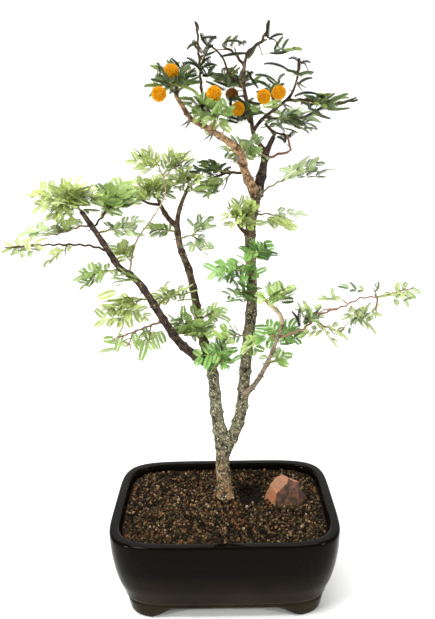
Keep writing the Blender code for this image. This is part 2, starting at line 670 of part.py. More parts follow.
def add_row(bm, slope, end, normal, width):
    """A leaflet row grown out of one slope of a rib: flat below, ridged above, pointed."""
    top_low, low, high, top_high = slope
    root = (low.co + high.co) / 2
    heading = (end - root).normalized()
    across = heading.cross(normal).normalized()
    if across.dot(high.co - low.co) < 0:
        across = -across
    middle = root.lerp(end, ROW_WIDEST)
    near = bm.verts.new(middle - across * width / 2)
    far = bm.verts.new(middle + across * width / 2)
    ridge = bm.verts.new(middle + normal * ROW_THICKNESS * MM)
    tip = bm.verts.new(end)
    for corners in ((top_low, top_high, ridge), (top_low, ridge, near, low), (top_high, high, far, ridge),
                    (low, near, far, high), (near, ridge, tip), (ridge, far, tip), (far, near, tip)):
        bm.faces.new(corners)


def directions(count, rnd):
    """Directions spread evenly over a ball, each turned a little by the seeded draw."""
    for i in range(count):
        height = 1 - 2 * (i + 0.5) / count
        angle = GOLDEN_ANGLE * i + rnd.uniform(-0.35, 0.35)
        flat = math.sqrt(1 - height ** 2)
        yield Vector((flat * math.cos(angle), flat * math.sin(angle), height * 0.85))


def in_space(point, tuft, slack=1.3):
    offset = point - place(tuft.middle)
    return sum((offset[a] / (tuft.half[a] * MM)) ** 2 for a in range(3)) <= slack ** 2


def in_tuft(tuft, direction, share):
    return place([m + h * d * share for m, h, d in zip(tuft.middle, tuft.half, direction)])


def grow_twigs(tuft, stem, rnd):
    """Side twigs that leave the stem for the outer parts of a tuft, one for each three leaves."""
    twigs = []
    for direction in directions(tuft.leaves // 3, rnd):
        end = in_tuft(tuft, direction, 0.5)
        roots = [a.lerp(b, rnd.uniform(0.3, 0.7)) for a, b in zip(stem[1:], stem[2:])] or [stem[1]]
        root = min(roots, key=lambda p: abs((p - end).length - 0.6 * LEAF_LENGTH * MM))
        bend = root.lerp(end, 0.5) + Vector((0, 0, rnd.uniform(0.5, 2.0))) * MM
        twigs.append([root, bend, end])
    return twigs


def row_width(rib):
    """The width of the leaflet rows on a rib, less where its pairs stand close together."""
    return min(ROW_WIDTH * MM, PAIR_STEP * rib * 0.85)


def row_rods(root, end, across, width):
    """The rods that stand for a leaflet row: its middle line and its two edges."""
    middle = root.lerp(end, ROW_WIDEST)
    rods = [(root, end)]
    for edge in (-1, 1):
        corner = middle + across * edge * width / 2
        rods += [(root, corner), (corner, end)]
    return rods


def grow_leaf(skeleton, mass, tuft, base, tip, rnd):
    """The lie of one leaf, the ends of the leaflet rows that fit, and the rods they take up."""
    ahead = (tip - base).normalized()
    tilt = Vector((rnd.uniform(-LEAF_TILT, LEAF_TILT), -rnd.uniform(0, LEAF_TILT), 1.0)).normalized()
    across = ahead.cross(tilt).normalized()
    normal = across.cross(ahead).normalized()
    rib = (tip - base).length
    if not skeleton.is_clear(mass.name, base.lerp(tip, 0.15), tip, RIB_RADIUS * MM):
        return None
    rows = {}
    rods = [(base, tip)]
    for pair in range(LEAF_PAIRS):
        root = base.lerp(tip, 1 - PAIR_STEP * (LEAF_PAIRS - 1 - pair))
        for side in (-1, 1):
            heading = ahead * math.cos(ROW_SPREAD) + across * side * math.sin(ROW_SPREAD)
            for size in ROW_SIZES:
                end = root + heading * min(ROW_LENGTH * MM, rib * ROW_LIMIT) * size
                taken = row_rods(root, end, heading.cross(normal), row_width(rib))
                fits = all(skeleton.is_clear(mass.name, a, b, EDGE_RADIUS * MM) for a, b in taken)
                if in_space(end, tuft) and fits:
                    rows[pair, side] = end
                    rods += taken
                    break
    return (normal, rows, rods) if rows else None


def make_mass(skeleton, mass):
    """One mass of foliage: stem, twigs, leaves and flower heads fused into one body."""
    rnd = random.Random(mass.name)
    look = CROWN_GREEN if mass.level >= CROWN_LEVEL else MIDDLE_GREEN
    if mass.level < CROWN_LEVEL and mass.bends[-1][0] < CANOPY_SIDE:
        look = CANOPY_GREEN
    root = skeleton.node(mass.limb, mass.level)
    stem = smooth_path([root] + [place(p) for p in mass.bends], 8 * MM)
    pieces = [tube(mass.name, stem, taper(*STEM_RADIUS), 3, look, smooth=False)]
    wood = list(zip(stem, stem[1:]))
    rods = []
    for tuft in mass.tufts:
        for twig in grow_twigs(tuft, stem, rnd):
            if all(skeleton.is_clear(mass.name, a, b, TWIG_RADIUS * MM) for a, b in zip(twig, twig[1:])):
                pieces.append(tube("twig", twig, taper(TWIG_RADIUS, 0.7), 3, look, smooth=False))
                wood += list(zip(twig, twig[1:]))
        nodes = [a.lerp(b, rnd.uniform(0.3, 0.7)) for a, b in wood if in_space(b, tuft, 1.3)] or [stem[-2]]
        count = max(1, round(tuft.leaves * LEAF_SHARE))
        for direction in directions(count, rnd):
            tip = in_tuft(tuft, direction, rnd.uniform(0.72, 0.9))
            base = min(nodes, key=lambda p: abs((p - tip).length - LEAF_LENGTH * MM))
            lie = grow_leaf(skeleton, mass, tuft, base, tip, rnd)
            if lie:
                normal, rows, taken = lie
                pieces.append(leaf_body("leaf", base, tip, normal, rows, look))
                rods += taken
    for flower in mass.flowers:
        centre = place(flower)
        foot = min((a.lerp(b, 0.6) for a, b in wood), key=lambda p: (p - centre).length)
        pieces.append(tube("flower stalk", [foot, centre], taper(0.8, 0.7), 3, look, smooth=False))
        bm = bmesh.new()
        bmesh.ops.create_icosphere(bm, subdivisions=2, radius=FLOWER_RADIUS * MM)
        bmesh.ops.translate(bm, vec=centre, verts=bm.verts)
        pieces.append(new_object("flower head", bm, POLLEN))
        rods.append((centre, centre))
    boolean(pieces[0], "UNION", pieces[1:])
    cutters = {mass.limb}
    for start, end in zip(stem, stem[1:]):
        cutters |= skeleton.touched(mass.name, start, end, STEM_RADIUS[0] * MM) & set(skeleton.limbs)
    boolean(pieces[0], "DIFFERENCE", cutters_of(skeleton, sorted(cutters)))
    for start, end in wood[1:] + rods:
        radius = FLOWER_RADIUS if start == end else EDGE_RADIUS
        skeleton.block(mass.name, start, end, radius * MM)


def main():
    clear_scene()
    make_pot()
    make_soil()
    make_stone()
    skeleton = Skeleton()
    make_limbs(skeleton)
    for mass in MASSES:
        make_mass(skeleton, mass)


main()
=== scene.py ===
"""Sweet acacia bonsai in a glazed pot: the looks of the tree, laid out as a Blender 4.5 add-on.

Metres, +Z up, table at z = 0. Places in the lists of limbs and masses are in millimetres from the
pot's centre: x to the right, y away from the front, z up from the table. The tree grows by the same
rule as its solids, carried on to thorns, leaf stalks and single leaflets.
"""
import json
import math
import random
from collections import namedtuple

import bmesh
import bpy
import numpy as np
from mathutils import Matrix, Vector, kdtree, noise

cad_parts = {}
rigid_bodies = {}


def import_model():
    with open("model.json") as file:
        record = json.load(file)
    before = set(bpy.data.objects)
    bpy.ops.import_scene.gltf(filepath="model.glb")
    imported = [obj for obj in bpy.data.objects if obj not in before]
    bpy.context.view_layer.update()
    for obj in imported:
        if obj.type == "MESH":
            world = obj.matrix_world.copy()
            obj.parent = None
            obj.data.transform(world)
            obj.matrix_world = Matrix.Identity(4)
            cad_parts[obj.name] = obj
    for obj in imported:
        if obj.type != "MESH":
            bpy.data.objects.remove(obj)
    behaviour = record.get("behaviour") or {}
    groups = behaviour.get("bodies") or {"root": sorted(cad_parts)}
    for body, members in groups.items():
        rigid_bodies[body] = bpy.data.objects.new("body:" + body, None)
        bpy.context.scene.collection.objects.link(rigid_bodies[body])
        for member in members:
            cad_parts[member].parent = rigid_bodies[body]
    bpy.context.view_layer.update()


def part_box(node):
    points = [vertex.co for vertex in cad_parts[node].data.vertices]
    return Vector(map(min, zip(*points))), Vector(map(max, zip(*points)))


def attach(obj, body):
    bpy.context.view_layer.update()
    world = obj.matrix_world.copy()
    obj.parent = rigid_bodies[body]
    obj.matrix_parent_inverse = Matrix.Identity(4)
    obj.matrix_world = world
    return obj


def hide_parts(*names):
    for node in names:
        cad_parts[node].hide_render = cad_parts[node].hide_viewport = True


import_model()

bl_info = {
    "name": "Sweet acacia bonsai",
    "version": (1, 0, 0),
    "blender": (4, 5, 0),
    "location": "3D View > Sidebar > Bonsai",
    "description": "Grows a thorny, flowering bonsai in a glazed pot around its solids",
    "category": "Object",
}

MM = 0.001
POT_LOW, POT_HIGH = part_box("pot")
POT_CENTRE = np.array([(POT_LOW.x + POT_HIGH.x) / 2, (POT_LOW.y + POT_HIGH.y) / 2, 0.0])
GOLDEN_ANGLE = math.pi * (3 - math.sqrt(5))
SOIL_TOP = 73.6

# Trunk and limbs: a parent, the height on it where the limb starts, the bends that it passes, its
# radius at the root and the tip, how many pairs of long thorns it has, and its sort of bark
TRUNK_PATH = [(1, 12, SOIL_TOP + 0.3), (0, 12, 91), (-1, 12, 109), (0, 12, 127)]
TRUNK_RADIUS = (6.5, 6.4)
FLARE = 2.3
FLARE_HEIGHT = 14.0
BUTTRESSES = 4
BUTTRESS_DEPTH = 0.35
BUTTRESS_TURN = 0.6
Limb = namedtuple("Limb", "name parent level bends root tip thorns bark")
LIMBS = [Limb(*row) for row in (
    ("left_stem", "trunk", 124, [(-5, 14, 152), (-7, 17, 175), (-9, 20, 195), (-13, 22, 207)], 5.9, 4.7, 0,
     "stem"),
    ("right_stem", "trunk", 118, [(11, 11, 142), (17, 8, 167), (21, 6, 213), (26, 10, 262), (25, 14, 320),
     (31, 14, 353)], 5.4, 4.3, 0, "stem"),
    ("left_bough", "left_stem", 201, [(-24, 14, 212), (-36, 5, 226), (-46, -4, 245), (-67, -18, 286),
     (-79, -22, 296), (-93, -28, 322), (-106, -31, 344)], 4.2, 1.9, 0, "bough"),
    ("middle_bough", "left_stem", 204, [(-17, 32, 222), (-28, 50, 277), (-36, 52, 300), (-39, 52, 324)],
     4.2, 2.7, 0, "brown"),
    ("middle_left_arm", "middle_bough", 320, [(-49, 58, 330), (-53, 62, 338), (-56, 64, 345)], 2.5, 1.7, 0,
     "brown"),
    ("middle_right_arm", "middle_bough", 321, [(-36, 48, 335), (-31, 44, 347), (-26, 40, 358)], 2.2, 1.4,
     0, "brown"),
    ("right_bough", "right_stem", 174, [(30, -6, 195), (39, -22, 221), (46, -32, 244), (49, -34, 255)],
     2.5, 1.3, 0, "pink"),
    ("crown_left_arm", "right_stem", 349, [(20, 2, 371), (15, -10, 387), (-9, -25, 404), (-20, -31, 410),
     (-31, -38, 427)], 4.1, 1.5, 3, "tan"),
    ("crown_right_arm", "right_stem", 350, [(36, 24, 370), (39, 31, 382), (42, 33, 389), (46, 34, 397)],
     4.7, 2.0, 0, "bough"),
    ("crown_leader", "crown_right_arm", 383, [(30, 37, 397), (27, 34, 410), (21, 28, 435), (21, 26, 449),
     (23, 24, 461)], 2.2, 1.2, 1, "brown"),
    ("crown_right_shoot", "crown_leader", 401, [(36, 22, 411), (55, 4, 426), (60, -1, 437), (62, -4, 447)],
     1.7, 0.9, 2, "bough"),
)]

# Masses: a limb, the height on it where the stem starts, the kind of leaves, how full they grow, the
# colour of the shoots, the bends of the stem, tufts that each give a space (middle and half sizes)
# and a number of leaves, and the flower heads
Tuft = namedtuple("Tuft", "middle half leaves")
Mass = namedtuple("Mass", "name limb level kind thin shoot bends tufts flowers")
MASSES = [Mass(*row) for row in (
    ("far_left_shoot", "left_bough", 312, "slim", 0.7, 0, [(-103, -34, 318), (-131, -48, 321),
     (-158, -58, 321)], [((-144, -54, 319), (17, 12, 8), 3), ((-124, -44, 312), (10, 10, 11), 2)], []),
    ("left_side_spray", "left_bough", 333, "pale", 0.8, 2, [(-111, -28, 331), (-126, -26, 326),
     (-139, -24, 325)], [((-141, -24, 326), (20, 12, 9), 4), ((-116, -26, 331), (11, 10, 7), 2)], []),
    ("canopy_west", "left_bough", 343, "sunlit", 1.0, 1, [(-111, -33, 350), (-120, -36, 357)],
     [((-115, -34, 354), (26, 22, 13), 10), ((-122, -30, 341), (12, 13, 9), 3)], []),
    ("canopy_middle", "left_bough", 331, "fresh", 1.0, 0, [(-90, -22, 340), (-83, -12, 352)],
     [((-83, -11, 351), (17, 22, 13), 9)], []),
    ("canopy_east", "middle_left_arm", 344, "sunlit", 1.0, 0, [(-62, 60, 348), (-72, 50, 350)],
     [((-60, 52, 353), (22, 20, 12), 9)], []),
    ("fork_leaf", "left_bough", 326, "pale", 1.0, 1, [(-87, -22, 328), (-80, -18, 329)], [((-76, -16, 328),
     (15, 12, 10), 3)], []),
    ("west_hanging", "left_bough", 295, "fresh", 1.0, 1, [(-90, -18, 295), (-102, -15, 291)],
     [((-103, -14, 289), (15, 11, 11), 3)], []),
    ("knuckle_spray", "left_bough", 288, "fresh", 1.0, 1, [(-73, -30, 290), (-75, -36, 291)],
     [((-75, -38, 292), (12, 11, 9), 3)], []),
    ("lower_west", "left_bough", 270, "sunlit", 0.65, 1, [(-66, -26, 272), (-77, -36, 268)],
     [((-79, -36, 266), (20, 16, 17), 8)], []),
    ("lower_middle", "left_bough", 260, "sunlit", 0.7, 1, [(-49, 0, 266), (-42, 8, 269)], [((-40, 10, 267),
     (20, 12, 11), 4)], []),
    ("hanging_row", "left_bough", 249, "fresh", 0.2, 2, [(-59, -16, 248), (-72, -28, 246),
     (-86, -36, 243)], [((-70, -28, 236), (27, 13, 14), 6)], []),
    ("pale_shoot", "left_bough", 292, "sunlit", 0.8, 3, [(-71, -6, 308), (-68, 4, 317), (-54, 22, 336),
     (-46, 30, 352), (-48, 32, 368)], [((-80, -4, 308), (10, 9, 8), 2), ((-61, 32, 379), (14, 14, 11), 4),
     ((-36, 34, 378), (14, 14, 10), 3)], []),
    ("inner_low", "middle_bough", 219, "fresh", 1.0, 1, [(-26, 20, 231), (-33, 12, 238)], [((-29, 12, 237),
     (20, 15, 17), 7)], []),
    ("inner_east", "middle_bough", 238, "fresh", 1.0, 1, [(-12, 38, 242), (-7, 36, 244)], [((-7, 36, 242),
     (12, 12, 11), 3)], []),
    ("knee_spray", "left_stem", 192, "green", 1.0, 1, [(-4, 8, 205), (1, 2, 215)], [((-3, 2, 215),
     (17, 13, 18), 5)], []),
    ("middle_side", "middle_bough", 309, "pale", 1.0, 1, [(-28, 50, 312), (-19, 48, 313)],
     [((-19, 50, 322), (14, 12, 9), 3), ((-20, 48, 302), (13, 11, 9), 3)], []),
    ("middle_west_leaf", "middle_bough", 315, "fresh", 1.0, 1, [(-48, 54, 317), (-55, 56, 317)],
     [((-56, 56, 317), (13, 10, 7), 2)], []),
    ("top_middle", "middle_right_arm", 357, "sunlit", 1.0, 1, [(-27, 39, 363), (-31, 38, 366)],
     [((-31, 40, 361), (16, 15, 10), 5)], []),
    ("bridge_spray", "crown_left_arm", 368, "deep", 1.0, 0, [(9, 10, 369), (-1, 16, 366), (-9, 20, 363)],
     [((-7, 20, 369), (15, 14, 9), 4), ((-4, 14, 355), (14, 13, 9), 3)], []),
    ("crown_west", "crown_left_arm", 425, "deep", 1.0, 0, [(-30, -38, 433), (-30, -36, 438)],
     [((-32, -36, 435), (17, 18, 14), 8)], [(-42, -48, 427), (-33, -46, 442)]),
    ("crown_spire", "crown_left_arm", 406, "deep", 0.25, 0, [(-12, -22, 421), (-13, -18, 438),
     (-14, -16, 456), (-15, -14, 477)], [((-12, -16, 462), (12, 14, 8), 3), ((-13, -14, 445), (12, 15, 8),
     3)], []),
    ("crown_middle", "crown_left_arm", 402, "fresh", 1.0, 1, [(-2, -28, 410), (-8, -34, 417)],
     [((-10, -34, 416), (18, 18, 12), 7)], [(-3, -46, 427)]),
    ("crown_low", "crown_right_arm", 380, "pale", 1.0, 1, [(28, 20, 385), (21, 12, 388)], [((20, 10, 386),
     (18, 16, 12), 5)], []),
    ("crown_heart", "crown_leader", 408, "deep", 1.0, 0, [(20, 24, 415), (14, 16, 421)], [((17, 16, 414),
     (16, 16, 13), 5)], [(15, 0, 418)]),
    ("crown_back", "crown_leader", 433, "deep", 1.0, 0, [(15, 36, 441), (8, 42, 444)], [((11, 42, 440),
     (21, 17, 12), 6)], [(11, 24, 430)]),
    ("crown_tip", "crown_leader", 460, "deep", 0.15, 0, [(29, 20, 466), (36, 16, 471), (40, 13, 484)],
     [((41, 16, 462), (20, 20, 12), 5)], []),
    ("crown_tip_west", "crown_leader", 451, "deep", 0.2, 0, [(14, 32, 462), (5, 38, 468)], [((5, 37, 467),
     (17, 18, 10), 4)], []),
    ("crown_east_top", "crown_right_shoot", 446, "deep", 0.5, 0, [(62, -5, 450), (62, -6, 454)],
     [((62, -6, 445), (13, 15, 12), 4)], []),
    ("crown_flowers", "crown_right_shoot", 418, "deep", 0.6, 0, [(42, 0, 426), (39, -6, 431)],
     [((42, 0, 433), (13, 13, 12), 3)], [(34, -18, 426), (46, -12, 429)]),
    ("crown_east", "crown_right_shoot", 412, "shaded", 1.0, 0, [(50, 28, 411), (60, 32, 409)],
     [((60, 32, 408), (23, 17, 12), 7)], []),
    ("crown_far_east", "crown_right_shoot", 424, "deep", 0.6, 0, [(70, 7, 424), (90, 8, 421),
     (110, 8, 424)], [((82, 8, 418), (22, 16, 12), 5)], []),
    ("elbow_twig", "crown_right_arm", 378, "deep", 1.0, 2, [(52, 33, 383), (60, 31, 385), (56, 30, 398)],
     [((50, 38, 396), (13, 12, 9), 2)], []),
    ("east_leaf", "right_stem", 350, "pale", 1.0, 1, [(45, 12, 359), (62, 10, 366)], [((70, 8, 370),
     (19, 13, 9), 4)], []),
    ("stem_yellow", "right_stem", 318, "sunlit", 1.0, 0, [(16, 4, 325), (13, -4, 333)], [((18, -4, 337),
     (15, 13, 12), 6)], []),
    ("stem_east", "right_stem", 334, "pale", 0.55, 1, [(40, 10, 335), (50, 8, 332)], [((53, 8, 328),
     (17, 12, 12), 4)], []),
    ("stem_green", "right_stem", 294, "green", 1.0, 1, [(24, -2, 298), (26, -8, 306)], [((29, -8, 307),
     (14, 12, 10), 4), ((10, -8, 291), (23, 13, 10), 5)], []),
    ("stem_low_green", "right_stem", 267, "green", 1.0, 1, [(22, -2, 271), (18, -8, 273)], [((18, -8, 272),
     (15, 12, 11), 4)], []),
    ("right_bough_top", "right_bough", 254, "fresh", 1.0, 3, [(46, -33, 261), (39, -28, 266),
     (34, -23, 270)], [((44, -27, 275), (15, 13, 9), 4)], []),
    ("right_shoot", "right_bough", 240, "slim", 0.7, 2, [(65, -40, 251), (75, -46, 263), (92, -52, 271),
     (106, -56, 279), (119, -58, 280), (142, -63, 288)], [((65, -46, 264), (12, 11, 9), 4),
     ((82, -40, 245), (18, 11, 8), 3), ((83, -52, 278), (9, 10, 9), 2), ((103, -59, 287), (14, 11, 6), 2),
     ((108, -50, 261), (20, 12, 11), 4), ((132, -63, 281), (12, 11, 10), 3)], []),
    ("right_knot", "right_bough", 235, "green", 0.7, 1, [(40, -16, 239), (34, -12, 240)], [((49, -14, 238),
     (21, 15, 11), 6)], []),
    ("right_low_leaf", "right_bough", 210, "fresh", 1.0, 1, [(42, -10, 213), (46, -6, 214)],
     [((45, -6, 214), (12, 11, 9), 2)], []),
    ("stem_west_leaf", "right_stem", 229, "fresh", 1.0, 1, [(14, -2, 235), (7, -6, 236)], [((2, -6, 236),
     (12, 11, 10), 2), ((24, -14, 229), (11, 10, 8), 2)], []),
)]

# Pot: outer half width and half depth of each level, from the underside to the rim and down inside,
# with how far each corner is rounded back
POT_POINTS = 192
POT_CORNER = 5.5
RIM_HEIGHT = POT_HIGH.z / MM
FOOT_HEIGHT = 13.0
INNER_FOOT_HEIGHT = 11.0
ARCH_HEIGHT = 10.0
UNDERSIDE_LEVELS = [(72.0, 45.0, 11.0), (73.0, 46.0, 0.0), (84.8, 59.8, 0.0)]
UNDERSIDE_ROUNDING = [1.5, 2.5]
WALL_LEVELS = [(87.2, 62.2, FOOT_HEIGHT), (86.2, 61.4, 14.8), (88.6, 63.8, 17.2), (90.3, 65.8, 24.0),
               (93.4, 69.2, 33.0), (96.4, 72.4, 47.0), (98.4, 74.8, 64.0), (98.6, 75.0, RIM_HEIGHT),
               (90.6, 67.0, RIM_HEIGHT), (88.6, 65.0, 70.0), (85.6, 62.0, 40.0), (79.0, 54.0, 18.0)]
WALL_ROUNDING = [1.0, 1.0, 1.6, 4.0, 5.0, 8.0, 8.0, 3.2, 3.2, 5.0, 8.0]
ARC_STEPS = 7
ARC_REACH = 0.48
ARCH_FRONT = (66.0, 42.0)
ARCH_SIDE = (36.0, 26.0)
BARE_HEIGHT = 0.4
SHARP_EDGE = math.radians(50)

# Soil: lumps and one hollow, level where the trunk and the stone stand, and a bed of painted shade
# under the grains
SOIL_EDGE = 74.0
SOIL_RIM = 0.88
SOIL_HALF = (88.8, 65.2)
LUMP_SIZE = 11.0
LUMP_HEIGHT = 2.4
HOLLOW_CENTRE = (24.0, 22.0)
HOLLOW_REACH = (13.0, 20.0)
HOLLOW_DEPTH = 4.5
SEATS = [((1.0, 12.0), (11.0, 11.0)), ((56.5, 5.5), (21.0, 15.5))]
SEAT_EDGE = 0.5
BED_DROP = 1.6
BED_DEPTH = 12
BED_RINGS = 24
BED_POINTS = 96

# Granules: their spacing and sizes as shares of the middle size, layers as a height and the share that
# grows, the shares of the colours, where tan, rust and pale ones gather, single pebbles, and the rings
# of grains at the feet of the trunk and the stone
GRAIN_PITCH = 0.92
GRAIN_SIZES = (0.36, 0.68)
FOOT_GRAIN_SIZES = (0.4, 0.66)
GRAIN_REACH = 0.985
GRAIN_JITTER = 0.45
GRAIN_LUMPS = (0.78, 1.18)
GRAIN_STRETCH = (0.8, 1.2)
GRAIN_DRIFT = 0.3
GRAIN_LAYERS = ((-1.5, 1.0), (-0.3, 0.45))
GRAIN_SHARES = np.array((0.34, 0.32, 0.22, 0.08, 0.03, 0.01))
WARM_SHARES = np.array((0.12, 0.2, 0.28, 0.28, 0.09, 0.03))
WARM_CENTRE = (-28.0, -4.0)
WARM_REACH = (44.0, 34.0)
WARM_PATCH = 14
PEBBLE_HEIGHT = 0.4
PEBBLES = [((20.6, -1.3), 1.9, 5), ((26.0, 5.5), 1.2, 5), ((-12.0, -30.0), 1.6, 3), ((66.0, -38.0), 1.7, 5)]
FEET_REACH = (0.94, 1.16)
FEET_HEIGHT = (-0.4, 1.2)
FEET = [((1.0, 12.0), (8.6, 8.6), 46), ((55.5, 5.5), (16.6, 12.6), 90)]
FALLEN_TWIG = [(6.6, -22.0), (10.7, -33.0), (18.6, -28.7)]
FALLEN_RADIUS = (0.9, 0.5)
FALLEN_HEIGHT = 0.7
RUST_GRAIN = 4

# Stone: a ball cut back by planes, each with its direction, its distance from the middle and its tint
STONE_CENTRE = (55.5, 5.5, 73.4)
STONE_HALF = (17.2, 13.5, 22.0)
# Rust and tan on the left and upper faces: the stone's own rust and painted light from the upper left
STONE_CUTS = [
    ((-0.86, -0.42, 0.30), 0.66, 0), ((-0.45, -0.35, 0.82), 0.70, 1), ((0.02, -0.93, 0.36), 0.56, 2),
    ((0.40, -0.55, 0.73), 0.74, 2), ((0.86, -0.25, 0.45), 0.72, 2), ((0.35, 0.25, 0.90), 0.80, 1),
    ((-0.30, 0.85, 0.43), 0.66, 2), ((0.55, 0.78, 0.30), 0.70, 0), ((-0.80, 0.45, 0.40), 0.74, 1)]
STONE_CUT_TO = (0.78, 0.78, 0.82)
STONE_FOOT = -0.12
STONE_CHIPS = 3.1
STONE_ROUGHNESS = 0.05

# Twigs, leaf stalks and thorns, in millimetres; a pair of radii is for the root and the tip
STEM_RADIUS = (1.0, 0.5)
DARK_STEM_RADIUS = (1.45, 0.9)
TWIG_RADIUS = 0.8
TWIG_TIP = 0.4
FINER_RADIUS = (0.55, 0.3)
STALK_RADIUS = 0.32
RIB_RADIUS = 0.2
SPINE_RADIUS = 0.36
SPINE_SHARES = (0.5, 1.0)
SPINE_LENGTH = 3.0
DARK_SPINE_LENGTH = 5.5
FINER_SPINE_LENGTH = 2.5
BARE_SPINE_LENGTH = 3.5
LEAF_LENGTH = 27.0
CLEARANCE = 0.5
SLACK = 1.3
ZIGZAG = 0.7

# Paths: the spacing of their points in millimetres
TRUNK_STEP = 5
LIMB_STEP = 11
STEM_STEP = 8
TWIG_STEP = 5
FINER_STEP = 4.5
SHOOT_STEP = 4

# A direction that no limb takes, and how much flatter than a ball the leaves spread
OFF_AXIS = (0.31, 0.83, 0.46)
FLATTENING = 0.85

# Bark: the slot, the colours of the ground, the cracks and the specks, and the specks' size and share
Bark = namedtuple("Bark", "slot ground crack speck size share")
BARKS = {"stem": Bark("bark", "#77725a", "#25211a", "#c6c29f", 1.7, 0.13),
         "bough": Bark("dark_bark", "#54443a", "#1e1712", "#a58c6c", 3.4, 0.07),
         "brown": Bark("dark_bark", "#6e5a49", "#30251c", "#ad9474", 3.0, 0.09),
         "tan": Bark("tan_bark", "#ad8a66", "#43301f", "#dcb78e", 3.0, 0.1),
         "pink": Bark("dark_bark", "#887a66", "#4c4133", "#b8ab90", 2.4, 0.08)}
BARK_OF = {"trunk": "stem", **{limb.name: limb.bark for limb in LIMBS}}
BARK_PLATES = (420.0, 420.0, 130.0)
BARK_LUMPS = 230.0
BARK_STEP = 1.2
BARK_SIDES = 24
SAMPLE_STEP = 1.5

# Relief of the bark: the radius in millimetres from which it is full, its least and greatest share,
# the height of the lumps, the depth of the cracks and how wide they are, and where the trunk is cut
FULL_RELIEF_RADIUS = 6
RELIEF_RANGE = (0.25, 1.2)
BARK_LUMP_HEIGHT = 0.9
CRACK_DEPTH = 2.6
CRACK_WIDTH = 0.25
FOOT_CUT = 0.4

# Swellings of the limbs at the crotch and the old nodes, and the long thorns and short spurs
CROTCH = 3.5
CROTCH_SWELL = 0.3
CROTCH_REACH = 1.8
NODE_STEP = 17.0
NODE_SWELL = 0.2
NODE_HALF = 2.2
NODE_END = 5
THORN_LENGTH = 11.0
THORN_RADIUS = 1.0
THORN_TAPER = np.array((1.0, 0.9, 0.75, 0.5, 0.08))
SPUR_LENGTH = (3.0, 6.0)
SPUR_RADIUS = 0.75

# How far a pair of thorns parts, and how far it leans ahead
THORN_SPREAD = 0.45
SPUR_SPREAD = (0.8, 0.3)
SPINE_SPREAD = (0.7, 0.35)

# Leaves: the slot, how far the leaflets and rows fold up, how the rows bend, how the leaf tilts, how full
# a tuft is, the sizes in millimetres (between rows, leaflet, row), and colours that run from painted
# shade to painted sunlight
# The sunlit kind is partly the leaves' own yellow-green, partly painted sunlight; shaded is painted shade
Form = namedtuple("Form", "slot fold lift bend tilt fullness gap leaflet row colours")
FORMS = {kind: Form(*values) for kind, *values in (
    ("deep", "dark_leaf", 0.85, 0.35, 0.2, 0.7, 1.7, 6.5, 3.6, 18.0, "#20261a #333f28 #4d5f36 #71843f"),
    ("shaded", "dark_leaf", 0.4, 0.15, 0.18, 0.9, 1.8, 6.8, 3.6, 13.5, "#333f29 #54663e #708352 #8a9b66"),
    ("sunlit", "yellow_leaf", 0.25, 0.12, 0.18, 0.9, 2.3, 6.6, 3.6, 12.5, "#728248 #99aa5e #a8b66b #b3be82"),
    ("fresh", "green_leaf", 0.18, 0.08, 0.16, 1.0, 1.8, 7.2, 4.0, 14.0, "#56703c #819c52 #95ad62 #a3b677"),
    ("green", "green_leaf", 0.18, 0.08, 0.16, 1.0, 1.8, 7.2, 4.0, 14.0, "#42602f #5f873f #729c4c #8cad61"),
    ("pale", "yellow_leaf", 0.25, 0.1, 0.15, 0.9, 1.4, 7.2, 3.8, 13.0, "#63754d #859967 #99ac78 #a8b789"),
    ("slim", "yellow_leaf", 0.55, 0.1, 0.2, 0.8, 1.5, 5.4, 2.9, 12.0, "#53694a #84985e #9dab6e #b0b780"),
)}

# Rows and leaves: the most pairs on a leaf, how the painted light rises within a tuft, the shortest
# twig and leaf in millimetres, and how far the seeded draw may vary a row, a leaf and a finer twig
MOST_PAIRS = 5
MIDDLE_SHADE = 1.45
SHADE_RISE = 1.2
SHADE_DRIFT = 0.55
SHORTEST_TWIG = 7
SHORTEST_LEAF = 9
ROW_SHARES = (1.0, 0.8, 0.62)
ROW_LENGTHS = (0.8, 1.08)
ROW_BENDS = (-0.6, 1.0)
ROW_DRIFT = 0.12
FIRST_ROW = 0.8
LAST_SPREAD = 0.7
LIT_ROWS = 0.2
LEAFY_SHARE = 0.75
LEAF_BOW = (0.02, 0.1)
LEAF_REACH = (0.4, 0.95)
LEAF_LENGTHS = (0.7, 1.1)
FINER_REACH = (0.55, 0.8)
ROW_CLEARANCE = 2.0

# How rows leave the stalk, how leaflets lean from the row, and a leaflet's outline
ROW_SPREAD = math.radians(62)
LEAFLET_LEAN = math.radians(68)
LEAFLET_OUTLINE = np.array([(0.0, 0.0), (0.3, 0.5), (0.78, 0.42), (1.0, 0.0), (0.78, -0.42), (0.3, -0.5)])

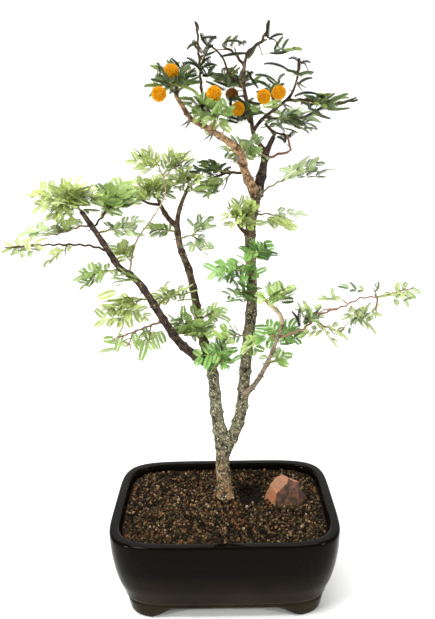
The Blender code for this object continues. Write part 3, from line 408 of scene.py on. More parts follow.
# Single rows from root to tip with the sag of the middle: dark ones of the crown, folded shut, and
# open ones that hang from the lower shoots; then how far they fold and the length of their leaflets
BLADES = [
    ("deep", [((23, 20, 456), (39, 18, 470), 2), ((24, 22, 456), (31, 20, 466), -1), ((40, 15, 469),
     (51, 15, 473), 1), ((40, 15, 470), (41, 13, 483), 0), ((40, 16, 460), (61, 16, 464), -3),
     ((35, 10, 451), (56, 10, 445), 2), ((28, 10, 443), (44, 10, 439), 1), ((22, 8, 447), (31, 8, 433),
     -2), ((22, 30, 467), (4, 35, 469), 3), ((24, 26, 461), (2, 20, 458), 0), ((-1, 8, 461),
     (-14, 10, 457), -1), ((-13, -14, 466), (-1, -14, 467), 1), ((-13, -14, 464), (-22, -14, 460), 1),
     ((-15, -14, 472), (-17, -14, 479), 0), ((61, -4, 434), (72, -4, 439), 1), ((59, 6, 426), (79, 6, 427),
     2), ((70, 8, 423), (90, 8, 423), -1), ((84, 8, 419), (109, 8, 425), -2), ((83, 8, 419), (65, 8, 410),
     -2), ((62, -4, 447), (70, -5, 450), 2), ((61, -5, 449), (54, -5, 453), 2), ((-30, -38, 425),
     (-48, -40, 437), 2), ((-22, -34, 413), (-6, -34, 424), -2)]),
    ("fresh", [((-79, -30, 246), (-85, -30, 231), 1), ((-71, -26, 246), (-67, -26, 231), 1),
     ((-61, -24, 240), (-67, -24, 221), 1), ((-63, -20, 248), (-59, -20, 237), 1), ((-57, -16, 244),
     (-52, -16, 228), 1), ((-52, -12, 243), (-48, -12, 232), 1), ((-86, -32, 242), (-94, -34, 242), 1)]),
    ("sunlit", [((-75, -34, 267), (-72, -34, 252), 1), ((-69, -30, 266), (-64, -30, 255), 1),
     ((-82, -32, 281), (-96, -36, 277), 1), ((0, -14, 407), (-10, -16, 400), 1), ((0, -12, 408),
     (9, -14, 401), 1), ((-8, -30, 416), (-19, -32, 409), 1)]),
    ("deep", [((60, -42, 252), (54, -43, 265), 1), ((62, -42, 253), (61, -44, 268), 1), ((64, -42, 254),
     (69, -45, 268), -1), ((64, -42, 254), (75, -46, 265), -1)]),
    ("sunlit", [((-63, 42, 346), (-76, 34, 352), 2), ((-60, 40, 345), (-72, 30, 357), 1), ((-67, 40, 343),
     (-78, 32, 345), 1), ((-68, 34, 349), (-80, 24, 357), 1)]),
    ("deep", [((-66, 44, 347), (-80, 36, 349), -2), ((-70, 36, 354), (-82, 28, 355), -2), ((-13, -20, 444),
     (-26, -24, 449), 2), ((-13, -20, 444), (-23, -22, 453), 1), ((-13, -18, 444), (-1, -16, 448), 2),
     ((-13, -20, 441), (-3, -18, 443), -2), ((-14, -20, 442), (-25, -24, 441), -2), ((-13, -18, 446),
     (-5, -16, 454), 1), ((34, -10, 421), (21, -12, 423), -2)]),
    ("fresh", [((33, -8, 420), (48, -10, 422), -2), ((33, -8, 420), (25, -10, 417), -1)]),
    ("sunlit", [((19, 2, 385), (5, -2, 389), 2), ((19, 2, 384), (8, -2, 381), -1), ((21, 2, 386),
     (17, 0, 392), 1)]),
    ("fresh", [((21, 2, 384), (34, 0, 387), 2)]),
    ("sunlit", [((21, 2, 384), (28, 0, 380), -1), ((18, 2, 383), (13, -2, 377), -1), ((42, 6, 333),
     (54, 2, 326), 1), ((47, 6, 332), (62, 2, 323), 1), ((39, 8, 333), (46, 4, 324), 1)]),
]
BLADE_FORMS = {"deep": (0.9, 3.2), "fresh": (0.25, 4.0), "sunlit": (0.25, 4.0)}

# Bare twigs: their bends, the radius at the root and the tip, and the colour
BARE_TWIGS = [
    ([(15, 35, 438), (8, 32, 448), (5, 30, 457), (-1, 26, 464), (-8, 20, 468)], (1.2, 0.8), 0),
    ([(38, 27, 407), (47, 32, 400), (60, 32, 397)], (1.2, 0.8), 0),
    ([(24, 12, 317), (17, 5, 324), (13, -3, 332)], (2.0, 1.3), 0),
    ([(48, -34, 253), (46, -33, 261), (39, -28, 267), (31, -21, 274)], (2.1, 1.5), 3),
    ([(-53, 57, 339), (-63, 52, 341), (-69, 46, 345), (-74, 40, 347)], (1.5, 0.9), 0),
]

# Finishes, as sRGB hex colours
GLAZE_DARK = "#080603"
# The olive is a painted reflection of the floor on the lower glaze
OLIVE_FLOOR_REFLECTION = "#332b1b"
CLAY_DARK = "#5a412d"
CLAY = "#7a5a40"
PAINTED_PORE_SHADE = "#100b07"
PAINTED_BED_SHADE = "#241a10"
ROCK_RUST = "#985f36"
ROCK_TAN = "#86604a"
ROCK_GREY = "#34271f"
ROCK_BROWN = "#70482e"
FOOT_BROWN = "#987752"
UPPER_BROWN = "#65523d"
PAPER_WHITE = "#f2f2f0"
STUDIO_GREY = "#e6e8ea"

# Soil granules: the material's name and its colour
GRAIN_LOOKS = (("Lava grit, sieved, near black", "#1b140d"), ("Baked clay granule, dark", "#382c1b"),
               ("Baked clay granule, brown", "#56462e"), ("Baked clay granule, tan", "#856a49"),
               ("Baked clay granule, rust", "#784a2e"), ("Pumice granule, washed, pale", "#a58f72"))

# Plain tissues: the material's name, its two tones, the size of their drift in millimetres, roughness
SHOOT_LOOKS = (("Acacia twig, ripe, dark brown", "#2e2118", "#54402c", 3, 0.8),
               ("Acacia shoot, green-brown", "#8c8a4c", "#6a5a34", 4, 0.6),
               ("Acacia shoot, young, pink-brown", "#9c7764", "#6a4538", 4, 0.6),
               ("Acacia shoot, new, cream", "#c3b48d", "#94806a", 4, 0.6))
LEAF_STALK_LOOK = ("Leaf stalk, fresh", "#a3a85f", "#7d8844", 6, 0.5)
THORN_LOOK = ("Acacia spine, dry, grey", "#8d857c", "#5b524a", 3, 0.5)
HEAD_LOOKS = (("Acacia pollen head, open, gold", "#d2920a", "#dfa514", 2, 0.8),
              ("Acacia pollen head, open, deep orange", "#ae6e08", "#d2920a", 2, 0.8),
              ("Acacia flower head, spent, brown", "#5b3413", "#8a5a25", 2, 0.9))
FLOWER_STALK_LOOK = ("Flower stalk, downy", "#8f9a55", "#70803e", 3, 0.7)
GOLD, DEEP_ORANGE_AND_SHADE, SPENT = range(len(HEAD_LOOKS))

# Flower heads: the mass whose head is spent, shares of the head's radius, and sizes in millimetres
SPENT_HEAD = "crown_back"
CORE_SHARE = 0.72
GOLD_SHARE = 0.75
HEAD_REACH = (0.86, 1.0)
STAMEN_FOOT = 0.35
FLOWER_STALK_RADIUS = 0.5
FLOWER_STALK_RISE = 1.5
POLLEN_LENGTH = 0.9
POLLEN_RADIUS = 0.42


def place(point):
    """A point in millimetres from the pot's centre as a place in the model."""
    return np.array(point, float) * MM + POT_CENTRE


def places(points):
    return [place(point) for point in points]


def unit(vector):
    return vector / np.linalg.norm(vector)


def full_turn(count):
    """Angles spread evenly round a circle."""
    return np.linspace(0, 2 * np.pi, count, endpoint=False)


def smooth_step(value):
    """0 below 0, 1 above 1, and a smooth rise between."""
    value = np.clip(value, 0, 1)
    return value * value * (3 - 2 * value)


def smooth_path(points, spacing):
    """Evenly spaced points on a smooth curve through the given ones."""
    points = list(points)
    ends = [points[0] * 2 - points[1]] + points + [points[-1] * 2 - points[-2]]
    fine = []
    for a, b, c, d in zip(ends, ends[1:], ends[2:], ends[3:]):
        for step in range(12):
            t = step / 12
            fine.append(0.5 * (2 * b + (c - a) * t + (2 * a - 5 * b + 4 * c - d) * t ** 2
                               + (3 * b - a - 3 * c + d) * t ** 3))
    fine = np.array(fine + [points[-1]])
    run = np.concatenate([[0.0], np.cumsum(np.linalg.norm(np.diff(fine, axis=0), axis=1))])
    count = max(3, round(run[-1] / spacing) + 1)
    marks = np.linspace(0, run[-1], count)
    return np.stack([np.interp(marks, run, fine[:, axis]) for axis in range(3)], axis=1)


def link(name, data):
    """A new object in the scene."""
    made = bpy.data.objects.new(name, data)
    bpy.context.scene.collection.objects.link(made)
    return made


class Pile:
    """Like shapes gathered for one mesh: points, faces and the shade of each face."""

    def __init__(self):
        self.points = []
        self.faces = []
        self.shades = []
        self.total = 0

    def add(self, points, groups, shade=0):
        """Add a shape: its points and arrays of faces that count from its own first point."""
        points = np.asarray(points).reshape(-1, 3)
        for faces in groups:
            self.faces += (np.asarray(faces) + self.total).tolist()
            self.shades += [shade] * len(faces)
        self.points.append(points)
        self.total += len(points)

    def mesh(self, name):
        made = bpy.data.meshes.new(name)
        made.from_pydata(np.concatenate(self.points).tolist(), [], self.faces)
        return made

    def piece(self, name, materials, slot, smooth=False):
        """The gathered shapes as one piece of the plant's only body; its slot argument is not used."""
        mesh = self.mesh(name)
        for material in materials:
            mesh.materials.append(material)
        mesh.polygons.foreach_set("material_index", self.shades)
        mesh.polygons.foreach_set("use_smooth", [smooth] * len(self.faces))
        mesh.update()
        piece = link(name, mesh)
        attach(piece, "root")
        return piece


def skin(rings):
    """The points of rings of equal size, the four-sided faces between them and the two end caps."""
    rings = np.asarray(rings)
    count, sides = rings.shape[:2]
    start = np.arange(count - 1)[:, None] * sides
    here = np.arange(sides)[None, :]
    after = (here + 1) % sides
    walls = np.stack([start + here, start + after, start + sides + after, start + sides + here], axis=2)
    caps = np.array([np.arange(sides)[::-1], np.arange(sides) + (count - 1) * sides])
    return rings.reshape(-1, 3), [walls.reshape(-1, 4), caps]


def circle(side, other, count):
    """Directions spread evenly in the plane of two given ones."""
    angle = full_turn(count)
    return np.cos(angle)[:, None] * side + np.sin(angle)[:, None] * other


def tube(path, radii, sides):
    """A round skin along a path that turns with it; radii holds one radius, or one row, for each ring."""
    ahead = np.gradient(path, axis=0)
    ahead /= np.linalg.norm(ahead, axis=1)[:, None]
    side = unit(np.cross(ahead[0], OFF_AXIS))
    rings = []
    for centre, direction, radius in zip(path, ahead, radii):
        side = unit(side - direction * side.dot(direction))
        around = circle(side, np.cross(direction, side), sides)
        rings.append(centre + around * np.atleast_1d(radius)[:, None])
    return skin(rings)


def spike(foot, tip, radius, sides=4):
    """A straight thorn."""
    ahead = unit(tip - foot)
    side = unit(np.cross(ahead, OFF_AXIS))
    ring = foot + circle(side, np.cross(ahead, side), sides) * radius
    here = np.arange(sides)
    faces = np.stack([here, (here + 1) % sides, np.full(sides, sides)], axis=1)
    return np.vstack([ring, tip]), [faces]


class Skeleton:
    """Each limb's path, and the rods of all limbs that twigs and leaves keep clear of."""

    def __init__(self):
        self.paths = {}
        self.lows = np.zeros((0, 3))
        self.highs = np.zeros((0, 3))
        self.widths = np.zeros(0)
        self.extend("trunk", smooth_path(places(TRUNK_PATH), TRUNK_STEP * MM), *TRUNK_RADIUS)
        for limb in LIMBS:
            points = [self.node(limb.parent, limb.level)] + places(limb.bends)
            self.extend(limb.name, smooth_path(points, LIMB_STEP * MM), limb.root, limb.tip)

    def extend(self, name, path, root, tip):
        self.paths[name] = path
        self.lows = np.vstack([self.lows, path[:-1]])
        self.highs = np.vstack([self.highs, path[1:]])
        self.widths = np.concatenate([self.widths, np.linspace(root, tip, len(path) - 1) * MM])

    def node(self, name, level):
        """The point of a limb's centre line at a height in millimetres."""
        path = self.paths[name]
        for low, high in zip(path, path[1:]):
            if low[2] <= level * MM <= high[2]:
                return low + (high - low) * (level * MM - low[2]) / (high[2] - low[2])
        return path[-1].copy()

    def stem(self, mass):
        """The path of the stem that carries a mass."""
        return smooth_path([self.node(mass.limb, mass.level)] + places(mass.bends), STEM_STEP * MM)

    def is_clear(self, start, end, radius):
        """True where a straight rod keeps off every limb."""
        along = self.highs - self.lows
        size = (along ** 2).sum(axis=1)
        reach = self.widths + radius + CLEARANCE * MM
        for share in (0.0, 0.33, 0.67, 1.0):
            point = start + (end - start) * share
            t = np.clip(((point - self.lows) * along).sum(axis=1) / size, 0, 1)
            if (np.linalg.norm(self.lows + along * t[:, None] - point, axis=1) < reach).any():
                return False
        return True

    def lets_by(self, twig):
        """True where a whole twig keeps off every limb."""
        return all(self.is_clear(a, b, TWIG_RADIUS * MM) for a, b in zip(twig, twig[1:]))


def directions(count, rnd):
    """Directions spread evenly over a ball, each turned a little by the seeded draw."""
    for i in range(count):
        height = 1 - 2 * (i + 0.5) / count
        angle = GOLDEN_ANGLE * i + rnd.uniform(-0.35, 0.35)
        flat = math.sqrt(1 - height ** 2)
        yield np.array((flat * math.cos(angle), flat * math.sin(angle), height * FLATTENING))


def in_space(point, tuft):
    """True inside the space of a tuft."""
    offset = (point - place(tuft.middle)) / (np.array(tuft.half) * MM)
    return (offset ** 2).sum() <= SLACK ** 2


def in_tuft(tuft, direction, share):
    return place([m + h * d * share for m, h, d in zip(tuft.middle, tuft.half, direction)])


def raised(root, end, rnd, highest):
    """The middle of a twig, a little above the straight line."""
    return (root + end) / 2 + np.array((0, 0, rnd.uniform(0.5, highest))) * MM


def grow_twigs(tuft, stem, rnd):
    """Side twigs that leave the stem for the outer parts of a tuft, one for each three leaves."""
    for direction in directions(tuft.leaves // 3, rnd):
        end = in_tuft(tuft, direction, 0.5)
        roots = [a + (b - a) * rnd.uniform(0.3, 0.7) for a, b in zip(stem[1:], stem[2:])] or [stem[1]]
        root = min(roots, key=lambda p: abs(np.linalg.norm(p - end) - 0.6 * LEAF_LENGTH * MM))
        yield np.array([root, raised(root, end, rnd, 2.0), end])


def linear(code):
    """An sRGB hex colour as linear red, green, blue and alpha."""
    parts = [int(code[i:i + 2], 16) / 255 for i in (1, 3, 5)]
    return [p / 12.92 if p <= 0.04045 else ((p + 0.055) / 1.055) ** 2.4 for p in parts] + [1.0]


def per_metre(size_mm):
    """The texture scale whose features measure a size in millimetres."""
    return 1000 / size_mm


def add_node(tree, kind, inputs=None, **settings):
    """A new node with its settings; an input takes a value or another node's output."""
    made = tree.nodes.new(kind)
    for name, value in settings.items():
        setattr(made, name, value)
    for key, value in (inputs or {}).items():
        if isinstance(value, bpy.types.NodeSocket):
            tree.links.new(value, made.inputs[key])
        else:
            made.inputs[key].default_value = value
    return made


class Look:
    """A Principled material in the making: values for its own sockets, then patterns laid over them."""

    def __init__(self, name, **values):
        self.material = bpy.data.materials.new(name)
        self.material.use_nodes = True
        self.tree = self.material.node_tree
        self.shader = self.tree.nodes["Principled BSDF"]
        for key, value in values.items():
            self.shader.inputs[key.replace("_", " ")].default_value = value
        self.where = add_node(self.tree, "ShaderNodeTexCoord").outputs["Object"]

    def height(self):
        return add_node(self.tree, "ShaderNodeSeparateXYZ", {0: self.where}).outputs[2]

    def cloud(self, size_mm, detail, **more):
        """A cloudy pattern of a size in millimetres."""
        inputs = {"Vector": self.where, "Scale": per_metre(size_mm), "Detail": detail, **more}
        return add_node(self.tree, "ShaderNodeTexNoise", inputs).outputs[0]

    def spread(self, value, low, high, bottom=0.0, top=1.0):
        """A value stretched so that low becomes bottom and high becomes top."""
        inputs = {"Value": value, "From Min": low, "From Max": high, "To Min": bottom, "To Max": top}
        return add_node(self.tree, "ShaderNodeMapRange", inputs).outputs[0]

    def blend(self, share, first, second):
        """Two colours mixed by a share, each a hex colour, a linear one or a node's output."""
        first, second = [linear(c) if isinstance(c, str) else c for c in (first, second)]
        inputs = {0: share, 6: first, 7: second}
        return add_node(self.tree, "ShaderNodeMix", inputs, data_type="RGBA").outputs[2]

    def finish(self, colour, relief=None, strength=0.0, depth=0.0):
        """The material with its colour laid on and its relief raised, as deep as given in millimetres."""
        self.tree.links.new(colour, self.shader.inputs["Base Color"])
        if relief is not None:
            inputs = {"Height": relief, "Strength": strength, "Distance": depth * MM}
            bump = add_node(self.tree, "ShaderNodeBump", inputs)
            self.tree.links.new(bump.outputs[0], self.shader.inputs["Normal"])
        return self.material


def glaze_material(settings):
    """Stoneware, dipped iron-brown glaze, fired glossy: almost black, with a painted olive reflection."""
    look = Look("Stoneware, dipped iron glaze, fired glossy", Roughness=settings.gloss, IOR=1.5,
                Specular_IOR_Level=0.04)
    # Lighter olive towards the bottom, in cloudy patches: a painted reflection of the pale floor
    inputs = {0: look.spread(look.height(), 0.052, 0.012), 1: look.cloud(34, 3.0)}
    thin = add_node(look.tree, "ShaderNodeMath", inputs, operation="MULTIPLY").outputs[0]
    colour = look.blend(thin, list(settings.glaze) + [1.0], OLIVE_FLOOR_REFLECTION)
    return look.finish(colour, look.cloud(9, 1.0), strength=0.06, depth=0.4)


def clay_material():
    """Bare fired stoneware where the feet stand in the kiln: matte, sandy, warm brown."""
    look = Look("Stoneware, bare and fired, sandy", Roughness=0.9)
    sand = look.cloud(0.8, 4.0)
    return look.finish(look.blend(sand, CLAY_DARK, CLAY), sand, strength=0.4, depth=0.3)


def grit_material(name, code):
    """Baked and sieved soil granules: matte, dull and porous, with painted shade in the pores."""
    look = Look(name, Roughness=0.95, Specular_IOR_Level=0.1)
    pores = look.cloud(1.1, 4.0)
    colour = look.blend(look.spread(pores, 0.3, 0.62), PAINTED_PORE_SHADE, code)
    return look.finish(colour, pores, strength=0.5, depth=0.3)


def rock_material(name, code, other):
    """Iron-stained jasper, broken by hand: waxy to dull faces with rusty and grey veins."""
    look = Look(name, Roughness=0.7, Specular_IOR_Level=0.35)
    vein = look.cloud(7, 6.0, Roughness=0.65, Distortion=1.2)
    chips = add_node(look.tree, "ShaderNodeTexVoronoi", {"Vector": look.where, "Scale": per_metre(3.5)})
    colour = look.blend(look.spread(vein, 0.44, 0.66), code, other)
    return look.finish(colour, chips.outputs[0], strength=0.6, depth=0.7)


def bark_material(kind):
    """Living acacia bark, weathered: dull, with dark cracks and pale lichen and scars in specks."""
    bark = BARKS[kind]
    look = Look("Acacia bark, weathered, " + kind, Roughness=0.9, Specular_IOR_Level=0.25)
    ground = weathered_stem(look, bark.ground) if kind == "stem" else bark.ground
    drift = look.cloud(5, 5.0, Roughness=0.7)
    cracked = look.blend(look.spread(drift, 0.6, 0.4), ground, bark.crack)
    lichen = look.cloud(bark.size, 3.0, Roughness=0.65)
    pale = look.spread(lichen, 0.7 - bark.share, 0.78 - bark.share)
    return look.finish(look.blend(pale, cracked, bark.speck), drift, strength=0.7, depth=0.6)


def weathered_stem(look, ground):
    """The stems' ground colour by height: warm brown above the damp soil, darker brown up in the wood."""
    height = look.height()
    foot = look.blend(look.spread(height, 0.13, 0.09), ground, FOOT_BROWN)
    return look.blend(look.spread(height, 0.2, 0.3, top=0.75), foot, UPPER_BROWN)


def leaf_material(kind, index, code):
    """Fresh acacia leaflets: a thin waxy skin over soft green, satin, with a faint drift of tone."""
    # Each of a kind's four colours is one step from painted shade to painted sunlight
    look = Look(f"Acacia leaf, fresh, {kind} {index + 1}", Roughness=0.5, Specular_IOR_Level=0.25)
    tone = look.spread(look.cloud(14, 2.0), 0.3, 0.7, 0.75, 1.25)
    colour = add_node(look.tree, "ShaderNodeHueSaturation", {"Color": linear(code), "Value": tone})
    return look.finish(colour.outputs[0])


def plain_material(name, code, other, size_mm, roughness):
    """Soft plant tissue, grown: satin, with two near tones in a drift of the given size."""
    look = Look(name, Roughness=roughness, Specular_IOR_Level=0.15)
    return look.finish(look.blend(look.cloud(size_mm, 3.0), code, other))


def superellipse(count):
    """The corners of a rounded rectangle whose half sides measure 1."""
    angle = full_turn(count)
    c = np.cos(angle)
    s = np.sin(angle)
    return (np.copysign(np.abs(c) ** (2 / POT_CORNER), c), np.copysign(np.abs(s) ** (2 / POT_CORNER), s))


def pot_ring(half_width, half_depth, height, foot_height):
    """A ring of the pot, whose foot band lifts into an arch on each side."""
    across, back = superellipse(POT_POINTS)
    x = across * half_width
    y = back * half_depth
    front = smooth_step((ARCH_FRONT[0] - np.abs(x)) / (ARCH_FRONT[0] - ARCH_FRONT[1]))
    side = smooth_step((ARCH_SIDE[0] - np.abs(y)) / (ARCH_SIDE[0] - ARCH_SIDE[1]))
    lift = ARCH_HEIGHT * np.maximum(front, side) * max(0.0, 1 - height / foot_height)
    return np.stack([x, y, height + lift], axis=1) * MM + POT_CENTRE


def rounded(levels, rounding):
    """A profile whose inner corners are turned into short arcs."""
    levels = [np.array(level) for level in levels]
    points = [levels[0]]
    for before, corner, after, cut in zip(levels, levels[1:], levels[2:], rounding):
        start = corner + unit(before - corner) * min(cut, np.linalg.norm(before - corner) * ARC_REACH)
        end = corner + unit(after - corner) * min(cut, np.linalg.norm(after - corner) * ARC_REACH)
        for t in np.linspace(0, 1, ARC_STEPS):
            points.append(start * (1 - t) ** 2 + corner * 2 * t * (1 - t) + end * t ** 2)
    return points + [levels[-1]]


def make_pot(settings):
    """The glazed shell from its underside over the rim and down inside, with bare clay feet."""
    profile = rounded(UNDERSIDE_LEVELS + WALL_LEVELS, UNDERSIDE_ROUNDING + WALL_ROUNDING)
    rings = []
    for half_width, half_depth, height in profile:
        inner = half_width < UNDERSIDE_LEVELS[1][0] + 0.5 and height < INNER_FOOT_HEIGHT + 1
        rings.append(pot_ring(half_width, half_depth, height, INNER_FOOT_HEIGHT if inner else FOOT_HEIGHT))
    points, groups = skin(rings)
    pile = Pile()
    pile.add(points, groups)
    bare = {i for i, p in enumerate(points) if p[2] < BARE_HEIGHT * MM}
    pile.shades = [1 if all(i in bare for i in face) else 0 for face in pile.faces]
    pot = pile.piece("glazed_pot", [glaze_material(settings), clay_material()], "glaze", smooth=True)
    pot.data.set_sharp_from_angle(angle=SHARP_EDGE)
    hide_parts("pot")


def ellipse(x, y, middle, half):
    """How far a place lies from an ellipse's middle, as a share of the way to its edge."""
    return math.hypot((x - middle[0]) / half[0], (y - middle[1]) / half[1])


def rim_share(x, y):
    """How far out a place lies on the soil's rounded rectangle: 1 at the pot's wall."""
    across, back = [(abs(v) / half) ** POT_CORNER for v, half in zip((x, y), SOIL_HALF)]
    return (across + back) ** (1 / POT_CORNER)


def soil_height(x, y):
    """The height of the soil in millimetres: lumps and one hollow, level where something stands."""
    away = min(ellipse(x, y, *seat) for seat in SEATS) - 1
    free = np.clip(away / SEAT_EDGE, 0, 1)
    lump = np.clip(0.5 - noise.noise(Vector((x, y, 0)) / LUMP_SIZE), 0, 1)
    hollow = math.exp(-ellipse(x, y, HOLLOW_CENTRE, HOLLOW_REACH) ** 2)
    height = SOIL_TOP - free * (LUMP_HEIGHT * lump + HOLLOW_DEPTH * hollow)
    return np.interp(rim_share(x, y), (SOIL_RIM, 1.0), (height, SOIL_EDGE))


def grain_shade(x, y, rnd):
    """The colour of a granule: mostly dark, with tan, rust and pale ones gathered beside the trunk."""
    warm = math.exp(-ellipse(x, y, WARM_CENTRE, WARM_REACH) ** 2)
    warm *= 0.6 + 0.8 * noise.noise(Vector((x, y, 5)) / WARM_PATCH)
    shares = GRAIN_SHARES + (WARM_SHARES - GRAIN_SHARES) * np.clip(warm, 0, 1)
    # Every granule in the hollow is the near-black grit: a painted shadow
    if ellipse(x, y, HOLLOW_CENTRE, HOLLOW_REACH) < 0.95:
        return 0
    return int(rnd.choice(len(shares), p=shares / shares.sum()))


def ball_mesh(subdivisions):
    """The points and faces of a ball of radius 1."""
    bm = bmesh.new()
    bmesh.ops.create_icosphere(bm, subdivisions=subdivisions, radius=1.0)
    ball = np.array([v.co for v in bm.verts])
    faces = np.array([[v.index for v in face.verts] for face in bm.faces])
    bm.free()
    return ball, faces


def make_soil(settings):
    """Two layers of granules, some pebbles, rings of grains at the feet and a fallen twig."""
    rnd = np.random.default_rng(7)
    ball, faces = ball_mesh(1)
    pile = Pile()
    pitch = settings.grain / MM * GRAIN_PITCH

    def add_grain(x, y, height, size, shade):
        """A knobbly granule: a ball with jittered corners, turned any way."""
        turn = np.linalg.qr(rnd.normal(size=(3, 3)))[0]
        lumps = ball * rnd.uniform(*GRAIN_LUMPS, (len(ball), 1)) * rnd.uniform(*GRAIN_STRETCH, 3) * size
        pile.add(lumps @ turn.T + place((x, y, height)), [faces], shade)

    def sow(x, y, height, sizes):
        size = settings.grain * rnd.uniform(*sizes)
        add_grain(x, y, height, size, grain_shade(x, y, rnd))

    for layer, share in GRAIN_LAYERS:
        for x in np.arange(-SOIL_HALF[0], SOIL_HALF[0], pitch):
            for y in np.arange(-SOIL_HALF[1], SOIL_HALF[1], pitch):
                px = x + rnd.uniform(-GRAIN_JITTER, GRAIN_JITTER) * pitch
                py = y + rnd.uniform(-GRAIN_JITTER, GRAIN_JITTER) * pitch
                if rnd.random() <= share and rim_share(px, py) <= GRAIN_REACH:
                    height = soil_height(px, py) + layer + rnd.uniform(-GRAIN_DRIFT, GRAIN_DRIFT)
                    sow(px, py, height, GRAIN_SIZES)
    for (x, y), radius, shade in PEBBLES:
        add_grain(x, y, soil_height(x, y) + PEBBLE_HEIGHT, radius * MM, shade)
    for middle, half, count in FEET:
        for angle in rnd.uniform(0, 2 * math.pi, count):
            x = middle[0] + half[0] * rnd.uniform(*FEET_REACH) * math.cos(angle)
            y = middle[1] + half[1] * rnd.uniform(*FEET_REACH) * math.sin(angle)
            sow(x, y, SOIL_TOP + rnd.uniform(*FEET_HEIGHT), FOOT_GRAIN_SIZES)
    twig = smooth_path([place((x, y, soil_height(x, y) + FALLEN_HEIGHT)) for x, y in FALLEN_TWIG], 2 * MM)
    pile.add(*tube(twig, np.linspace(*FALLEN_RADIUS, len(twig)) * MM, 6), shade=RUST_GRAIN)
    grains = pile.piece("soil_granules", [grit_material(*look) for look in GRAIN_LOOKS], "grit")
    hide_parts("soil")
    make_soil_bed()


def make_soil_bed():
    """The ground that shows between the granules, dark as painted shade, closed underneath."""
    top = [(share, True) for share in (0.05, *np.linspace(0.1, 1.0, BED_RINGS))]
    rings = []
    for share, is_top in top + [(0.98, False), (0.05, False)]:
        ring = []
        for across, back in zip(*superellipse(BED_POINTS)):
            x = across * SOIL_HALF[0] * share
            y = back * SOIL_HALF[1] * share
            ring.append(place((x, y, soil_height(x, y) - BED_DROP if is_top else SOIL_TOP - BED_DEPTH)))
        rings.append(ring)
    pile = Pile()
    pile.add(*skin(rings[::-1]))
    bed = pile.piece("soil_bed", [grit_material("Potting grit, damp, dark", PAINTED_BED_SHADE)], "grit", smooth=True)
    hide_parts("soil")


def make_stone():
    """A chipped stone: each broken face tinted, the left and upper ones partly with painted light."""
    ball, faces = ball_mesh(5)
    tint_and_painted_light = np.full(len(ball), 2)
    for normal, depth, shade in STONE_CUTS:
        normal = unit(np.array(normal))
        over = ball @ normal - depth
        ball -= np.outer(np.maximum(over, 0), normal)
        tint_and_painted_light[over > 0] = shade
    rough = np.array([noise.fractal(Vector(p * STONE_CHIPS), 0.8, 2.2, 5) for p in ball])
    ball *= (1 + STONE_ROUGHNESS * rough)[:, None]
    ball[:, 2] = np.maximum(ball[:, 2], STONE_FOOT)
    pile = Pile()
    pile.add(ball * np.array(STONE_HALF) * MM / np.array(STONE_CUT_TO) + place(STONE_CENTRE), [faces])
    pile.shades = tint_and_painted_light[faces].min(axis=1).tolist()
    looks = [rock_material("Jasper, broken, rust", ROCK_RUST, ROCK_TAN),
             rock_material("Jasper, broken, tan", ROCK_TAN, ROCK_RUST),
             rock_material("Jasper, weathered, grey-brown", ROCK_GREY, ROCK_BROWN)]
    stone = pile.piece("rust_stone", looks, "rock")
    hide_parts("stone")


def taper(name):
    """A limb's radius at its root and its tip."""
    if name == "trunk":
        return TRUNK_RADIUS
    return next((limb.root, limb.tip) for limb in LIMBS if limb.name == name)


def limb_radii(name, path, sides):
    """The radius of each ring: a taper, swollen at the crotch and at the old leaf nodes."""
    run = np.concatenate([[0.0], np.cumsum(np.linalg.norm(np.diff(path, axis=0), axis=1))]) / MM
    root, tip = taper(name)
    radii = root + (tip - root) * run / run[-1]
    if name == "trunk":
        flare = FLARE * np.exp(-3 * run / FLARE_HEIGHT)
        lobes = 1 + BUTTRESS_DEPTH * np.cos(BUTTRESSES * full_turn(sides) + BUTTRESS_TURN)
        return (radii[:, None] + flare[:, None] * lobes) * MM
    radii = radii * (1 + CROTCH_SWELL * np.exp(-run / (CROTCH_REACH * root)))
    for mark in np.arange(NODE_STEP, run[-1] - NODE_END, NODE_STEP):
        radii = radii * (1 + NODE_SWELL * np.exp(-((run - mark) / NODE_HALF) ** 2))
    return radii * MM


def bark_body(skeleton, settings):
    """Trunk and limbs grown together into one skin: its points, their normals and its faces."""
    pile = Pile()
    for name, path in skeleton.paths.items():
        fine = smooth_path(path, BARK_STEP * MM)
        pile.add(*tube(fine, limb_radii(name, fine, BARK_SIDES), BARK_SIDES))
    rough = link("wood", pile.mesh("wood"))
    remesh = rough.modifiers.new("fuse", "REMESH")
    remesh.mode = "VOXEL"
    remesh.voxel_size = settings.voxel
    view = bpy.context.evaluated_depsgraph_get()
    fused = bpy.data.meshes.new_from_object(rough.evaluated_get(view))
    bpy.data.objects.remove(rough, do_unlink=True)
    points = np.zeros(len(fused.vertices) * 3)
    normals = np.zeros(len(points))
    fused.vertices.foreach_get("co", points)
    fused.vertex_normals.foreach_get("vector", normals)
    quads = np.zeros(len(fused.loops), int)
    fused.loops.foreach_get("vertex_index", quads)
    bpy.data.meshes.remove(fused)
    return points.reshape(-1, 3), normals.reshape(-1, 3), quads.reshape(-1, 4)


def nearest_limb(skeleton, points):
    """For each point of the bark, the limb that it belongs to and that limb's radius there."""
    parents = {limb.name: limb.parent for limb in LIMBS}
    samples = []
    for name, path in skeleton.paths.items():
        fine = smooth_path(path, SAMPLE_STEP * MM)
        skip = (taper(parents[name])[0] + CROTCH) * MM if name in parents else 0.0
        samples += [(name, centre, float(np.atleast_1d(radius)[0]))
                    for centre, radius in zip(fine, limb_radii(name, fine, 1))
                    if np.linalg.norm(centre - fine[0]) >= skip]
    tree = kdtree.KDTree(len(samples))
    for index, (name, centre, radius) in enumerate(samples):
        tree.insert(centre, index)
    tree.balance()
    found = [samples[tree.find(p)[1]] for p in points]
    return [sample[0] for sample in found], np.array([sample[2] for sample in found])


